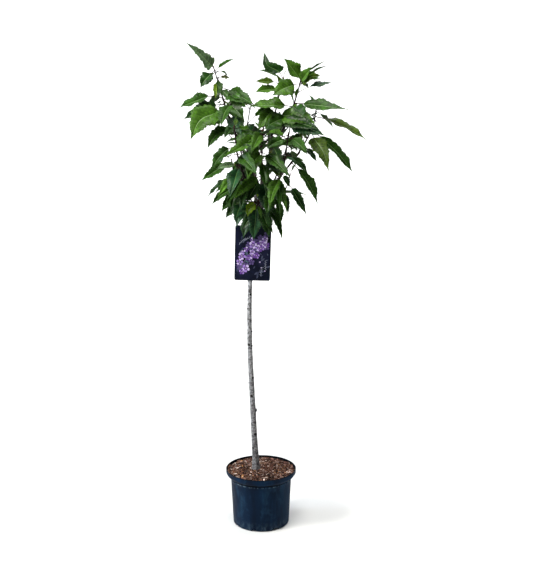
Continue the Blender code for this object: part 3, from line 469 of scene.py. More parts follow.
def make_lights():
    area_light("key", (-2.7, -1.3, 2.7), (0.0, 0.0, 1.1), (0.9, 0.9), 150.0, (1.0, 0.98, 0.92))
    area_light("side", (-2.6, 0.1, 1.2), (0.0, 0.0, 0.7), (0.7, 2.0), 66.0, (0.76, 0.88, 1.0))
    area_light("top", (-0.2, -1.0, 3.4), (0.0, 0.0, 1.3), (1.2, 1.2), 72.0, (1.0, 1.0, 0.94))
    area_light("backdrop_wash", (0.0, 2.2, 4.9), (0.0, 4.8, 1.2), (6.0, 1.2), 150.0, spread=110)
    area_light("floor_wash", (1.6, 1.0, 3.6), (1.9, 1.0, 0.0), (2.4, 2.4), 60.0, spread=75)


def make_flags():
    """Dark studio panels out of view at the right, so that the far sides go darker."""
    cloth = plain_material("flag_cloth", (0.01, 0.01, 0.01), 0.95)
    for name, x, front, back, low, high in (("high_flag", 1.15, -1.7, 0.5, 0.12, 2.5),
                                            ("low_flag", 0.62, -0.9, 1.3, 0.34, 0.92)):
        mesh = bpy.data.meshes.new(name)
        corners = [(x, front, low), (x, back, low), (x, back, high), (x, front, high)]
        mesh.from_pydata(corners, [], [(0, 1, 2, 3)])
        mesh.materials.append(cloth)
        flag = linked(name, mesh)
        flag.visible_camera = False
        flag.visible_shadow = False


def make_world():
    """Soft light from the upper left and front that falls off to the right."""
    world = bpy.data.worlds.new("world")
    world.use_nodes = True
    sky = Tree(world.node_tree)
    toward = sky.add("ShaderNodeVectorMath", operation="DOT_PRODUCT")
    toward.inputs[1].default_value = (-0.8, -0.2, 0.35)
    sky.link(sky.add("ShaderNodeTexCoord").outputs["Generated"], toward, 0)
    tones = sky.ramp(sky.span(toward.outputs["Value"], 0.0, 1.0, -0.8, 0.8),
                     (0.0, (0.06, 0.06, 0.06)), (1.0, (0.78, 0.82, 0.86)))
    background = sky.tree.nodes["Background"]
    sky.link(tones, background, "Color")
    background.inputs["Strength"].default_value = 0.4
    bpy.context.scene.world = world


def make_backdrop():
    """A pale floor that runs up behind the plant in one sweep."""
    sweep_radius, wall_height, half_width = 1.6, 5.5, 7.0
    front, bend = -6.0, 3.2
    profile = [(front, 0.0), (bend, 0.0)]
    for k in range(1, 13):
        angle = pi / 2 * k / 12
        profile.append((bend + sweep_radius * sin(angle), sweep_radius * (1 - cos(angle))))
    profile.append((bend + sweep_radius, wall_height))
    vertices = [(x, y, z) for y, z in profile for x in (-half_width, half_width)]
    faces = [(2 * i, 2 * i + 1, 2 * i + 3, 2 * i + 2) for i in range(len(profile) - 1)]
    mesh = bpy.data.meshes.new("backdrop")
    mesh.from_pydata(vertices, [], faces)
    mesh.shade_smooth()
    paper = Nodes("backdrop_paper", 0.9)
    paper.colour(paper.ramp(paper.span(paper.axis("Y"), 0.0, 1.0, 0.6, 3.6),
                            (0.0, (0.62, 0.62, 0.62)), (1.0, (0.93, 0.93, 0.93))))
    mesh.materials.append(paper.material)
    backdrop = linked("backdrop", mesh)


# Materials

def new_material(name, roughness, specular):
    """A material and its shader."""
    material = bpy.data.materials.new(name)
    material.use_nodes = True
    shader = material.node_tree.nodes["Principled BSDF"]
    shader.inputs["Roughness"].default_value = roughness
    shader.inputs["Specular IOR Level"].default_value = specular
    return material, shader


def plain_material(name, colour, roughness, specular=0.5):
    material, shader = new_material(name, roughness, specular)
    shader.inputs["Base Color"].default_value = (*colour, 1.0)
    return material


class Tree:
    """Short ways to add and link the nodes of a tree."""

    def __init__(self, tree):
        self.tree = tree

    def add(self, kind, **settings):
        node = self.tree.nodes.new(kind)
        for key, value in settings.items():
            setattr(node, key, value)
        return node

    def link(self, output, node, socket):
        self.tree.links.new(output, node.inputs[socket])

    def calc(self, operation, first, second=0.0):
        """What an output comes to with a number or another output."""
        node = self.add("ShaderNodeMath", operation=operation)
        self.link(first, node, 0)
        if isinstance(second, float):
            node.inputs[1].default_value = second
        else:
            self.link(second, node, 1)
        return node.outputs["Value"]

    def ramp(self, factor, *stops):
        node = self.add("ShaderNodeValToRGB")
        elements = node.color_ramp.elements
        while len(elements) < len(stops):
            elements.new(0.5)
        for element, (position, colour) in zip(elements, stops):
            element.position = position
            element.color = (*colour, 1.0)
        self.link(factor, node, "Fac")
        return node.outputs["Color"]

    def tints(self, factor, colour, *stops):
        """A ramp from darker to lighter shades of one colour."""
        return self.ramp(factor, *[(position, shaded(colour, share)) for position, share in stops])

    def mix(self, factor, first, second):
        """Two colours or colour outputs mixed by a factor output."""
        node = self.add("ShaderNodeMix", data_type="RGBA")
        self.link(factor, node, 0)
        for socket, value in ((6, first), (7, second)):
            if isinstance(value, tuple):
                node.inputs[socket].default_value = (*value, 1.0)
            else:
                self.link(value, node, socket)
        return node.outputs[2]

    def span(self, factor, low, high, from_low=0.3, from_high=0.7):
        """A factor output brought to a range."""
        node = self.add("ShaderNodeMapRange")
        for socket, value in (("From Min", from_low), ("From Max", from_high),
                              ("To Min", low), ("To Max", high)):
            node.inputs[socket].default_value = value
        self.link(factor, node, "Value")
        return node.outputs["Result"]


class Nodes(Tree):
    """The nodes of a new material, with its shader and the object's coordinates."""

    def __init__(self, name, roughness, specular=0.5):
        self.material, self.shader = new_material(name, roughness, specular)
        super().__init__(self.material.node_tree)
        self.place = self.add("ShaderNodeTexCoord").outputs["Object"]

    def axis(self, name, place=None):
        """One coordinate of the object's place, or of another."""
        split = self.add("ShaderNodeSeparateXYZ")
        self.link(self.place if place is None else place, split, "Vector")
        return split.outputs[name]

    def noise(self, scale, detail=3.0, rough=0.55, stretch=None, distortion=0.0):
        node = self.add("ShaderNodeTexNoise")
        place = self.place
        if stretch:
            mapping = self.add("ShaderNodeMapping")
            mapping.inputs["Scale"].default_value = stretch
            self.link(place, mapping, "Vector")
            place = mapping.outputs["Vector"]
        for socket, value in (("Scale", scale), ("Detail", detail), ("Roughness", rough),
                              ("Distortion", distortion)):
            node.inputs[socket].default_value = value
        self.link(place, node, "Vector")
        return node.outputs["Fac"]

    def colour(self, output):
        self.link(output, self.shader, "Base Color")

    def roughness(self, output):
        self.link(output, self.shader, "Roughness")

    def bump(self, height, strength, distance):
        node = self.add("ShaderNodeBump")
        node.inputs["Strength"].default_value = strength
        node.inputs["Distance"].default_value = distance
        self.link(height, node, "Height")
        self.link(node.outputs["Normal"], self.shader, "Normal")


def shaded(colour, factor):
    return tuple(min(1.0, c * factor) for c in colour)


GLOSSY = ("leaf_blue", "leaf_deep")


def leaf_material(name, colour, roughness):
    """Waxy upper leaf surface: mottled, finely puckered, with paler side veins."""
    nodes = Nodes(name, 0.5, 0.2 if name in GLOSSY else 0.12)
    marks = nodes.add("ShaderNodeTexCoord").outputs["UV"]
    swing = nodes.calc("PINGPONG", nodes.axis("X", marks), 0.5)
    vein = nodes.calc("MULTIPLY", nodes.span(swing, 0.8, 0.0, 0.02, 0.17),
                      nodes.span(nodes.axis("Y", marks), 1.0, 0.1, 0.2, 0.95))
    vein = nodes.calc("MULTIPLY", vein, nodes.span(nodes.noise(52.0, 2.0), 0.15, 1.0, 0.36, 0.62))
    mottle = nodes.noise(46.0, 7.0, 0.74)
    field = nodes.tints(mottle, colour, (0.34, 0.28), (0.5, 0.78), (0.66, 1.62))
    nodes.colour(nodes.mix(vein, field, shaded(colour, 1.85)))
    nodes.roughness(nodes.span(nodes.noise(90.0, 2.0), roughness - 0.07, roughness + 0.09))
    nodes.bump(nodes.noise(420.0, 3.0), 0.18, 0.0006)
    return nodes.material


def underside_material(name, colour):
    nodes = Nodes(name, 0.62, 0.15)
    nodes.colour(nodes.tints(nodes.noise(55.0, 3.0), colour, (0.32, 0.86), (0.7, 1.14)))
    nodes.bump(nodes.noise(600.0, 2.0), 0.15, 0.0004)
    return nodes.material


def stalk_material(name, colour, roughness):
    nodes = Nodes(name, roughness, 0.08)
    nodes.colour(nodes.tints(nodes.noise(120.0, 3.0), colour, (0.34, 0.65), (0.66, 1.35)))
    nodes.bump(nodes.noise(700.0, 2.0), 0.25, 0.0004)
    return nodes.material


def bark_material():
    """Young cherry bark: silvery above and darker below, with dark patches and cross lines."""
    nodes = Nodes("bark_grey", 0.7, 0.08)
    broad = nodes.noise(16.0, 4.0, 0.6, (0.8, 0.8, 1.6))
    patches = nodes.noise(170.0, 4.0, 0.65, (1.0, 1.0, 0.75), 0.5)
    lines = nodes.noise(230.0, 3.0, 0.6, (0.35, 0.35, 2.2))
    base = nodes.ramp(broad, (0.32, (0.062, 0.058, 0.058)), (0.5, (0.12, 0.118, 0.123)),
                      (0.68, (0.21, 0.21, 0.218)))
    silver = nodes.mix(nodes.span(patches, 0.0, 0.92, 0.44, 0.58), base, (0.48, 0.482, 0.5))
    patched = nodes.mix(nodes.span(patches, 0.8, 0.0, 0.34, 0.42), silver, (0.02, 0.017, 0.018))
    lined = nodes.mix(nodes.span(lines, 0.0, 0.85, 0.55, 0.65), patched, (0.012, 0.01, 0.01))
    low = nodes.span(nodes.axis("Z"), 0.62, 0.0, TRUNK_BASE, TRUNK_BASE + 0.7)
    nodes.colour(nodes.mix(low, lined, (0.045, 0.04, 0.042)))
    nodes.bump(nodes.noise(260.0, 4.0, 0.6, (0.5, 0.5, 3.0)), 0.45, 0.001)
    return nodes.material


def bough_material():
    nodes = Nodes("bark_brown", 0.55)
    bands = nodes.noise(34.0, 4.0, 0.6, (0.8, 0.8, 1.6))
    nodes.colour(nodes.ramp(bands, (0.3, (0.022, 0.013, 0.011)), (0.5, (0.048, 0.03, 0.024)),
                            (0.68, (0.09, 0.066, 0.056))))
    nodes.bump(nodes.noise(300.0, 4.0), 0.35, 0.0006)
    return nodes.material


def pot_material():
    """Dark blue-black polypropylene: satin, with soft streaks, dust and worn edges, a painted highlight on
    the bead and painted shade along the top of the rim.
    """
    nodes = Nodes("pot_plastic", 0.55, 0.06)
    streaks = nodes.noise(15.0, 5.0, 0.62, (1.0, 1.0, 0.1))
    dust = nodes.noise(24.0, 6.0, 0.7, (1.0, 1.0, 0.5), 0.4)
    worn = nodes.span(nodes.noise(95.0, 4.0, 0.7, (1.0, 1.0, 0.4)), 0.0, 1.0, 0.47, 0.6)
    base = nodes.ramp(streaks, (0.36, (0.0009, 0.0055, 0.0165)), (0.5, (0.0016, 0.01, 0.028)),
                      (0.64, (0.0034, 0.019, 0.048)))
    shown = nodes.mix(nodes.span(dust, 0.0, 0.26, 0.52, 0.72), base, (0.024, 0.08, 0.14))
    height = nodes.axis("Z")
    # Pale wear at the bead under the band, which also paints the highlight where the bead catches the
    # light, and fainter pale wear near the foot
    for edge, reach, share in ((POT_BAND_FOOT, 0.0028, 0.85), (POT_FOOT_ROUND, 0.03, 0.25)):
        away = nodes.calc("ABSOLUTE", nodes.calc("SUBTRACT", height, edge))
        near = nodes.span(away, share, 0.0, 0.0, reach)
        shown = nodes.mix(nodes.calc("MULTIPLY", near, worn), shown, (0.12, 0.18, 0.22))
    # Painted shade: the top of the rim goes near black
    rim_shade = nodes.span(height, 0.0, 0.85, POT_HEIGHT - 0.004, POT_HEIGHT - 0.0005)
    nodes.colour(nodes.mix(rim_shade, shown, (0.0008, 0.0014, 0.0022)))
    nodes.roughness(nodes.span(streaks, 0.5, 0.66))
    nodes.bump(nodes.noise(240.0, 3.0, 0.6, (1.0, 1.0, 0.5)), 0.12, 0.0004)
    return nodes.material


def card_material():
    """Printed plastic card: a blue-black ground with paler clouds."""
    nodes = Nodes("card_ground", 0.32, 0.1)
    clouds = nodes.noise(16.0, 4.0, 0.55, (1.0, 1.0, 0.8))
    nodes.colour(nodes.ramp(clouds, (0.34, (0.0016, 0.0026, 0.0066)), (0.52, (0.0048, 0.0066, 0.019)),
                            (0.7, (0.015, 0.017, 0.048))))
    nodes.bump(nodes.noise(500.0, 2.0), 0.06, 0.0003)
    return nodes.material


def chip_material(name, colour):
    nodes = Nodes(name, 0.92, 0.1)
    grain = nodes.noise(150.0, 4.0, 0.65)
    nodes.colour(nodes.tints(grain, colour, (0.3, 0.55), (0.52, 1.0), (0.72, 1.45)))
    nodes.bump(nodes.noise(420.0, 4.0, 0.7, (1.0, 0.4, 1.0)), 0.6, 0.0012)
    return nodes.material


def soil_material():
    nodes = Nodes("mulch_soil", 0.97)
    nodes.colour(nodes.ramp(nodes.noise(210.0, 5.0, 0.7), (0.32, (0.006, 0.004, 0.003)),
                            (0.7, (0.04, 0.024, 0.017))))
    nodes.bump(nodes.noise(320.0, 5.0, 0.7), 0.8, 0.002)
    return nodes.material


# Meshes

class Gather:
    """Vertices, faces and material numbers of many shapes that become one piece."""

    def __init__(self):
        self.vertices = []
        self.faces = []
        self.slots = []
        self.marks = []

    def add(self, vertices, faces, slots=0, marks=()):
        start = len(self.vertices)
        self.marks.extend(marks)
        self.vertices.extend(map(tuple, vertices))
        self.faces.extend([tuple(start + i for i in face) for face in faces])
        if isinstance(slots, int):
            slots = [slots] * len(faces)
        self.slots.extend(slots)

    def piece(self, name, materials, slot, *nodes, sharp=None):
        """Make the piece, ride it on the one body and let it stand for frame nodes."""
        mesh = bpy.data.meshes.new(name)
        mesh.from_pydata(self.vertices, [], self.faces)
        for material in materials:
            mesh.materials.append(material)
        mesh.polygons.foreach_set("material_index", self.slots)
        if self.marks:
            corners = np.zeros(len(mesh.loops), dtype=np.int32)
            mesh.loops.foreach_get("vertex_index", corners)
            mesh.uv_layers.new(name="blade").data.foreach_set("uv", np.array(self.marks)[corners].ravel())
        mesh.shade_smooth()
        if sharp:
            mesh.set_sharp_from_angle(angle=radians(sharp))
        mesh.update()
        obj = linked(name, mesh)
        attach(obj, "root")
        if nodes:
            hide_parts(*nodes)
        return obj


def grid_faces(rows, columns, closed):
    """Quads of a grid of points row by row; closed joins the last column to the first."""
    faces = []
    last = columns if closed else columns - 1
    for r in range(rows - 1):
        for k in range(last):
            a, b = r * columns + k, r * columns + (k + 1) % columns
            faces.append((a, b, b + columns, a + columns))
    return faces


def fan(middle, ring, flip=False):
    """Triangles from a middle point to each side of a closed ring."""
    pairs = zip(ring, [*ring[1:], ring[0]])
    return [(middle, b, a) if flip else (middle, a, b) for a, b in pairs]


def poled(rows, sides):
    """Faces of rings of points between two poles, the first point and the last."""
    faces = [tuple(i + 1 for i in face) for face in grid_faces(rows, sides, True)]
    start = 1 + (rows - 1) * sides
    return faces + fan(0, range(1, 1 + sides), True) + fan(start + sides, range(start, start + sides))


def plate_faces(rows, columns):
    """Quads of an upper and a lower skin of points in rows, and of the rim between."""
    quads = grid_faces(rows, columns, False)
    below = rows * columns
    loop = list(range(columns)) + [r * columns + columns - 1 for r in range(1, rows)]
    loop += [below - columns + k for k in range(columns - 2, -1, -1)]
    loop += [r * columns for r in range(rows - 2, 0, -1)]
    rim = [(b, a, a + below, b + below) for a, b in zip(loop, loop[1:] + loop[:1])]
    return quads + [tuple(below + i for i in reversed(quad)) for quad in quads] + rim


def turns(count):
    """Even angles once round."""
    return [2 * pi * k / count for k in range(count)]


def circle(radius, sides):
    return [(radius * cos(angle), radius * sin(angle)) for angle in turns(sides)]


def swept(points, radii, sides, relief=None):
    """A round limb along a course, its ends closed, as vertices and faces."""
    vertices = []
    side = ASIDE
    last = len(points) - 1
    for k, point in enumerate(points):
        ahead = (points[min(k + 1, last)] - points[max(k - 1, 0)]).normalized()
        side = across(side, ahead)
        up = ahead.cross(side)
        for angle in turns(sides):
            outward = side * cos(angle) + up * sin(angle)
            swelling = relief(point, outward) if relief else 1.0
            vertices.append(point + outward * (radii[k] * swelling))
    faces = grid_faces(last + 1, sides, True)
    for ring, flip in ((0, True), (last, False)):
        faces += fan(len(vertices), range(ring * sides, (ring + 1) * sides), flip)
        vertices.append(points[ring])
    return vertices, faces


# Courses, as in the source

def smooth_course(guides, step):
    """Points about a step apart on a smooth curve through the guides."""
    ends = [2 * guides[0] - guides[1]] + list(guides) + [2 * guides[-1] - guides[-2]]
    points = [guides[0].copy()]
    for i in range(1, len(ends) - 2):
        a, b, c, d = ends[i - 1:i + 3]
        count = max(1, round((c - b).length / step))
        for k in range(1, count + 1):
            t = k / count
            points.append(0.5 * (2 * b + (c - a) * t + (2 * a - 5 * b + 4 * c - d) * t * t
                                 + (3 * b - a - 3 * c + d) * t ** 3))
    return points


def lengths_along(points):
    total = [0.0]
    for a, b in zip(points, points[1:]):
        total.append(total[-1] + (b - a).length)
    return total


def point_on(points, share):
    """The point and the direction at a share of a course's length."""
    total = lengths_along(points)
    wanted = max(0.0, min(1.0, share)) * total[-1]
    for i in range(len(points) - 1):
        if wanted <= total[i + 1] or i == len(points) - 2:
            span = points[i + 1] - points[i]
            t = (wanted - total[i]) / span.length
            return points[i] + span * t, span.normalized()


def tube(name, points, radii, resolution):
    """A round tube through the points, as the source makes it, as vertices and faces."""
    curve = bpy.data.curves.new(name, "CURVE")
    curve.dimensions = "3D"
    curve.bevel_depth = 1.0
    curve.bevel_resolution = resolution
    curve.use_fill_caps = True
    spline = curve.splines.new("POLY")
    spline.points.add(len(points) - 1)
    for spot, point, radius in zip(spline.points, points, radii):
        spot.co = (*point, 1.0)
        spot.radius = radius
    guide = linked(name + "_course", curve)
    bpy.context.view_layer.update()
    graph = bpy.context.evaluated_depsgraph_get()
    mesh = guide.evaluated_get(graph).to_mesh()
    vertices = [v.co.copy() for v in mesh.vertices]
    faces = [tuple(p.vertices) for p in mesh.polygons]
    bpy.data.objects.remove(guide, do_unlink=True)
    bpy.data.curves.remove(curve)
    return vertices, faces


def on_axis(course, height):
    """The point of the trunk's centre line, given as a course, at a height."""
    k = min(max(1, bisect_left(course, height, key=lambda p: p.z)), len(course) - 1)
    a, b = course[k - 1:k + 1]
    return a.lerp(b, (height - a.z) / (b.z - a.z))


def trunk_radius(height):
    share = (height - TRUNK_BASE) / (TRUNK_COURSE[-1].z - TRUNK_BASE)
    flare = TRUNK_FLARE * exp(-share / TRUNK_FLARE_REACH)
    swelling = GRAFT_SWELLING * exp(-((height - GRAFT_HEIGHT) / GRAFT_REACH) ** 2)
    return TRUNK_FOOT_RADIUS - TRUNK_TAPER * share + flare + swelling


TRUNK_AXIS = smooth_course(TRUNK_COURSE, 0.01)
TRUNK_FINE = smooth_course(TRUNK_COURSE, 0.004)


def shoot_radius(shoot, share):
    return shoot.radius + (SHOOT_TIP_RADIUS - shoot.radius) * share ** 0.8


def rooted(points, radii):
    """Draw a limb's foot in to a blunt point, so that its cap stays inside the parent."""
    inward = (points[1] - points[0]).normalized() * radii[0]
    feet = [share * radii[0] for share in ROOTED_SHARES]
    return [points[0], points[0] + inward] + points[1:], feet + radii[1:]


def split_course(points, share):
    """Cut a course in two at a share of its length, with the clearance between."""
    total = lengths_along(points)
    at = share * total[-1]
    lower = [p for p, s in zip(points, total) if s < at - JOINT_ROOM]
    upper = [p for p, s in zip(points, total) if s > at + JOINT_ROOM]
    joint, direction = point_on(points, share)
    return lower + [joint], [joint + direction * GAP] + upper


def shoot_course(shoot, boughs):
    """The whole course of a shoot, bough and leafy stem together."""
    if shoot.parent == "trunk":
        start = on_axis(TRUNK_AXIS, shoot.start)
    else:
        start, _ = point_on(boughs[shoot.parent], shoot.start)
    return smooth_course([start] + [Vector(g) for g in shoot.guides], LIMB_STEP)


# Leaves and twigs placed by the source's rule

Leaf = namedtuple("Leaf", "root chord arch face petiole blade width bend look", defaults=(None,))
PLAIN_LOOK = Accent(0, 0, 0, 0, 0, None)


def across(vector, axis):
    """The part of a vector that is square to an axis, as a unit vector."""
    part = vector - vector.dot(axis) * axis
    return part.normalized() if part.length > 1e-6 else axis.orthogonal().normalized()


def leaf_line(leaf, run):
    """The midrib's point and direction at a run from the root: an arc under the chord."""
    whole = leaf.petiole + leaf.blade
    turn = leaf.bend * (0.5 - run / whole)
    radius = whole / leaf.bend
    forward = radius * (sin(leaf.bend / 2) - sin(turn))
    rise = radius * (cos(turn) - cos(leaf.bend / 2))
    point = leaf.root + forward * leaf.chord + rise * leaf.arch
    return point, cos(turn) * leaf.chord + sin(turn) * leaf.arch


def half_width(t):
    """Half the blade's width at t of its length, as a share of the greatest."""
    return t * (1.0 - t) ** 1.35 / 0.2013


def leaf_section(leaf, run, half, thick, fold):
    """Left edge, top of midrib, right edge and underside of midrib."""
    centre, direction = leaf_line(leaf, run)
    side = direction.cross(leaf.face).normalized()
    up = side.cross(direction).normalized()
    lift = up * (fold * half)
    return [centre - side * half + lift, centre + up * thick / 2,
            centre + side * half + lift, centre - up * thick / 2]


def leaf_solid(leaf, start=0.0, margin=0.0):
    """The source's plain leaf, for testing what has room."""
    stalk = PETIOLE_RADIUS + margin
    rings = [leaf_section(leaf, start - ROOT_SINK, stalk, 2 * stalk, 0.0),
             leaf_section(leaf, leaf.petiole, 1.4 * stalk, 2 * stalk, 0.0)]
    for t in LEAF_STATIONS:
        half = leaf.width / 2 * half_width(t) + margin
        thick = LEAF_THICKNESS * leaf.blade * (1.1 - 0.6 * t) + 2 * margin
        rings.append(leaf_section(leaf, leaf.petiole + t * leaf.blade, half, thick, LEAF_FOLD))
    tip, direction = leaf_line(leaf, leaf.petiole + leaf.blade)
    vertices = [v for ring in rings for v in ring] + [tip + direction * margin]
    faces = [(3, 2, 1, 0)]
    for r in range(len(rings) - 1):
        for k in range(4):
            a, b = 4 * r + k, 4 * r + (k + 1) % 4
            faces.append((a, b, b + 4))
            faces.append((a, b + 4, a + 4))
    last = 4 * (len(rings) - 1)
    for k in range(4):
        faces.append((last + k, last + (k + 1) % 4, len(vertices) - 1))
    return vertices, faces


def heading(azimuth, pitch=0.0):
    """The direction at an angle round +Z and a pitch above the level."""
    flat = cos(pitch)
    return Vector((cos(azimuth) * flat, sin(azimuth) * flat, sin(pitch)))


def leaf_from(root, chord, face, blade, bend):
    """A leaf along a chord that arches half upward and half to its upper side."""
    arch = (across(UP, chord) + face).normalized()
    petiole = LEAF_PETIOLE * (LEAF_PETIOLE_LEAST + (1.0 - LEAF_PETIOLE_LEAST) * blade / LEAF_BLADE)
    return Leaf(root, chord, arch, face, petiole, blade, blade * LEAF_WIDTH, bend)


def accent_leaf(accent, stem):
    """An outline leaf as the source has it."""
    root, _ = point_on(stem, accent.along)
    lean, toward, turn = (radians(a) for a in (accent.lean, accent.toward, accent.face))
    flat = cos(toward)
    chord = Vector((cos(lean) * flat, -sin(toward), sin(lean) * flat))
    up, front = across(UP, chord), across(FRONT, chord)
    face = across(up * cos(turn) + front * sin(turn), chord)
    return leaf_from(root, chord, face, accent.blade, ACCENT_BEND)


def dressed_leaf(accent, stem):
    """An outline leaf as the looks have it: turned, stretched and bent, with its look noted."""
    turned = accent._replace(lean=accent.lean + accent.swing, toward=accent.toward - accent.away,
                             blade=accent.blade * accent.long)
    bend = radians(accent.bend) if accent.bend else ACCENT_BEND
    leaf = accent_leaf(turned, stem)
    return leaf._replace(bend=bend, petiole=leaf.petiole * accent.stalk, look=accent)


def rule_leaf(stem, along, azimuth, pitch, roll, blade, bend):
    root, _ = point_on(stem, along)
    chord = heading(azimuth, pitch)
    face = Matrix.Rotation(roll, 3, chord) @ across(UP, chord)
    return leaf_from(root, chord, face, blade, bend)


def extent(vertices):
    low = [min(v[i] for v in vertices) for i in range(3)]
    high = [max(v[i] for v in vertices) for i in range(3)]
    return low, high


class Space:
    """What is already placed in the crown, for keeping new leaves clear of it."""

    def __init__(self):
        self.held = []

    def add(self, owner, vertices, faces):
        self.held.append((owner, *extent(vertices), BVHTree.FromPolygons(vertices, faces)))

    def is_free(self, vertices, faces, owner=None):
        """Whether a shape touches nothing, apart from what has the same owner."""
        low, high = extent(vertices)
        tree = BVHTree.FromPolygons(vertices, faces)
        for other_owner, other_low, other_high, other in self.held:
            if owner is not None and other_owner == owner:
                continue
            apart = any(low[i] > other_high[i] or high[i] < other_low[i] for i in range(3))
            if not apart and tree.overlap(other):
                return False
        return True


def node_polygons(name):
    mesh = frame["nodes"][name].data
    return [v.co.copy() for v in mesh.vertices], [tuple(p.vertices) for p in mesh.polygons]


def inside_crown(point):
    """Whether a point lies in the crown's vase, which opens upward."""
    radius = CROWN_FOOT_RADIUS + CROWN_SPREAD * (point.z - CROWN_FOOT_HEIGHT)
    away = hypot(point.x - CROWN_AXIS_X, point.y / CROWN_DEPTH_SHARE)
    return away < min(radius, CROWN_RADIUS)


def fits(leaf, owner, stem, space, free_form=False):
    """Whether a leaf keeps to its mass's space and touches nothing."""
    shell, faces = leaf_solid(leaf, ROOT_CLEARANCE, LEAF_CLEARANCE)
    tip = shell[-1]
    if min(v.z for v in shell) < CROWN_FLOOR:
        return False
    if not free_form:
        if min((tip - p).length for p in stem) > SPACE_REACH or not inside_crown(tip):
            return False
    whole = leaf_solid(leaf, 0.0, LEAF_CLEARANCE)
    return space.is_free(shell, faces) and space.is_free(*whole, owner)


def place_rule_leaves(shoot, stem, space, draw, count, turn):
    """Leaves round a stem: each next one a golden turn on, longest half way up."""
    leaves = []
    for i in range(count):
        along = LEAF_FIRST + (1.0 - LEAF_FIRST) * (i + 0.6) / count
        shrink = LEAF_SHRINK * max(0.0, along - LEAF_SHRINK_FROM) ** LEAF_SHRINK_POWER
        blade = LEAF_BLADE * (1.0 - shrink) * draw.uniform(*LEAF_VARIATION)
        for attempt in range(LEAF_TRIES):
            swing = LEAF_SWING * attempt
            azimuth = turn + i * GOLDEN_TURN + draw.uniform(-1, 1) * (LEAF_SCATTER + swing)
            pitch = radians(shoot.hang + (shoot.rise - shoot.hang) * along)
            pitch += draw.uniform(-1, 1) * (LEAF_SCATTER + 0.5 * swing)
            roll = radians(draw.uniform(-LEAF_ROLL, LEAF_ROLL))
            bend = radians(draw.uniform(*LEAF_BEND))
            leaf = rule_leaf(stem, along, azimuth, pitch, roll, blade, bend)
            if fits(leaf, shoot.name, stem, space):
                space.add(shoot.name, *leaf_solid(leaf))
                leaves.append(leaf)
                break
    return leaves


def twig_course(stem, along, azimuth, length):
    """A short side twig that leaves the stem at a slant and turns up half way."""
    root, direction = point_on(stem, along)
    outward = heading(azimuth)
    middle = root + (outward * 0.8 + direction * 0.6).normalized() * length * 0.5
    tip = middle + (outward * 0.4 + UP * 0.9).normalized() * length * 0.5
    return smooth_course([root, middle, tip], LIMB_STEP)


def thin_tube(points, radius, margin=0.0):
    """A square tube that tapers a little, as vertices and faces."""
    vertices = []
    for k, point in enumerate(points):
        ahead = points[min(k + 1, len(points) - 1)] - points[max(k - 1, 0)]
        side = across(ASIDE, ahead.normalized())
        up = ahead.normalized().cross(side)
        size = radius * (1.0 - TWIG_TAPER * k / len(points)) + margin
        vertices += [point + side * size, point + up * size, point - side * size, point - up * size]
    last = 4 * (len(points) - 1)
    faces = [(3, 2, 1, 0), (last, last + 1, last + 2, last + 3)]
    for r in range(len(points) - 1):
        for k in range(4):
            a, b = 4 * r + k, 4 * r + (k + 1) % 4
            faces.append((a, b, b + 4, a + 4))
    return vertices, faces


def place_twig(shoot, stem, index, space, draw):
    """Try a twig at turns round its stem until it has room."""
    along = TWIG_FIRST + TWIG_STEP * index
    length = draw.uniform(*TWIG_LENGTH)
    first = radians(shoot.turn) + TWIG_TURN + index * GOLDEN_TURN
    for attempt in range(TWIG_TRIES):
        twig = twig_course(stem, along, first + attempt * TWIG_SWING, length)
        clear = space.is_free(*thin_tube(twig[1:], TWIG_RADIUS, LEAF_CLEARANCE))
        if clear and space.is_free(*thin_tube(twig, TWIG_RADIUS, LEAF_CLEARANCE), shoot.name):
            space.add(shoot.name, *thin_tube(twig, TWIG_RADIUS))
            return twig
    return None


Mass = namedtuple("Mass", "shoot course stem leaves twigs spurs")


def grow_crown():
    """Place every leaf and twig of the source, in its order and with its seeds."""
    space = Space()
    space.add("trunk", *node_polygons("trunk"))
    space.add("label", *node_polygons("plant_label"))
    boughs = {}
    masses = []
    for shoot in SHOOTS:
        course = shoot_course(shoot, boughs)
        upper = course
        if shoot.bare:
            boughs[shoot.name], upper = split_course(course, shoot.bare)
            space.add("bough_" + shoot.name, *node_polygons("bough_" + shoot.name))
        masses.append(Mass(shoot, course, upper, [], [], []))

    for shoot, _, stem, _, _, _ in masses:
        total = lengths_along(stem)
        shares = [shoot.bare + (1 - shoot.bare) * s / total[-1] for s in total]
        radii = [shoot_radius(shoot, s) for s in shares]
        limb = (stem, radii) if shoot.bare else rooted(stem, radii)
        space.add(shoot.name, *tube("stem", *limb, 1))

    for shoot, _, stem, leaves, _, _ in masses:
        for accent in shoot.accents:
            leaf = accent_leaf(accent, stem)
            if fits(leaf, shoot.name, stem, space, free_form=True):
                space.add(shoot.name, *leaf_solid(leaf))
                leaves.append(dressed_leaf(accent, stem))

    for shoot, _, stem, leaves, twigs, _ in masses:
        draw = random.Random(shoot.seed)
        for index in range(shoot.twigs):
            twig = place_twig(shoot, stem, index, space, draw)
            if twig:
                twigs.append(twig)
                first = radians(shoot.turn) + TWIG_LEAF_TURN
                leaves += place_rule_leaves(shoot, twig, space, draw, TWIG_LEAVES, first)
        turn = radians(shoot.turn)
        leaves += place_rule_leaves(shoot, stem, space, draw, shoot.leaves, turn)
    return masses, space


def blocks_sky(leaf):
    """Whether a leaf's blade stands in a place where the sky shows from the front."""
    tree = BVHTree.FromPolygons(*leaf_solid(leaf))
    eye = Vector(CAMERA_PLACE)
    for x, z, radius in SKY_GAPS:
        targets = [Vector((x, 0.0, z))]
        for k, angle in enumerate(turns(2 * GAP_RAYS)):
            away = radius * GAP_RINGS[k % 2]
            targets.append(Vector((x + away * cos(angle), 0.0, z + away * sin(angle))))
        if any(tree.ray_cast(eye, (target - eye).normalized())[0] for target in targets):
            return True
    return False


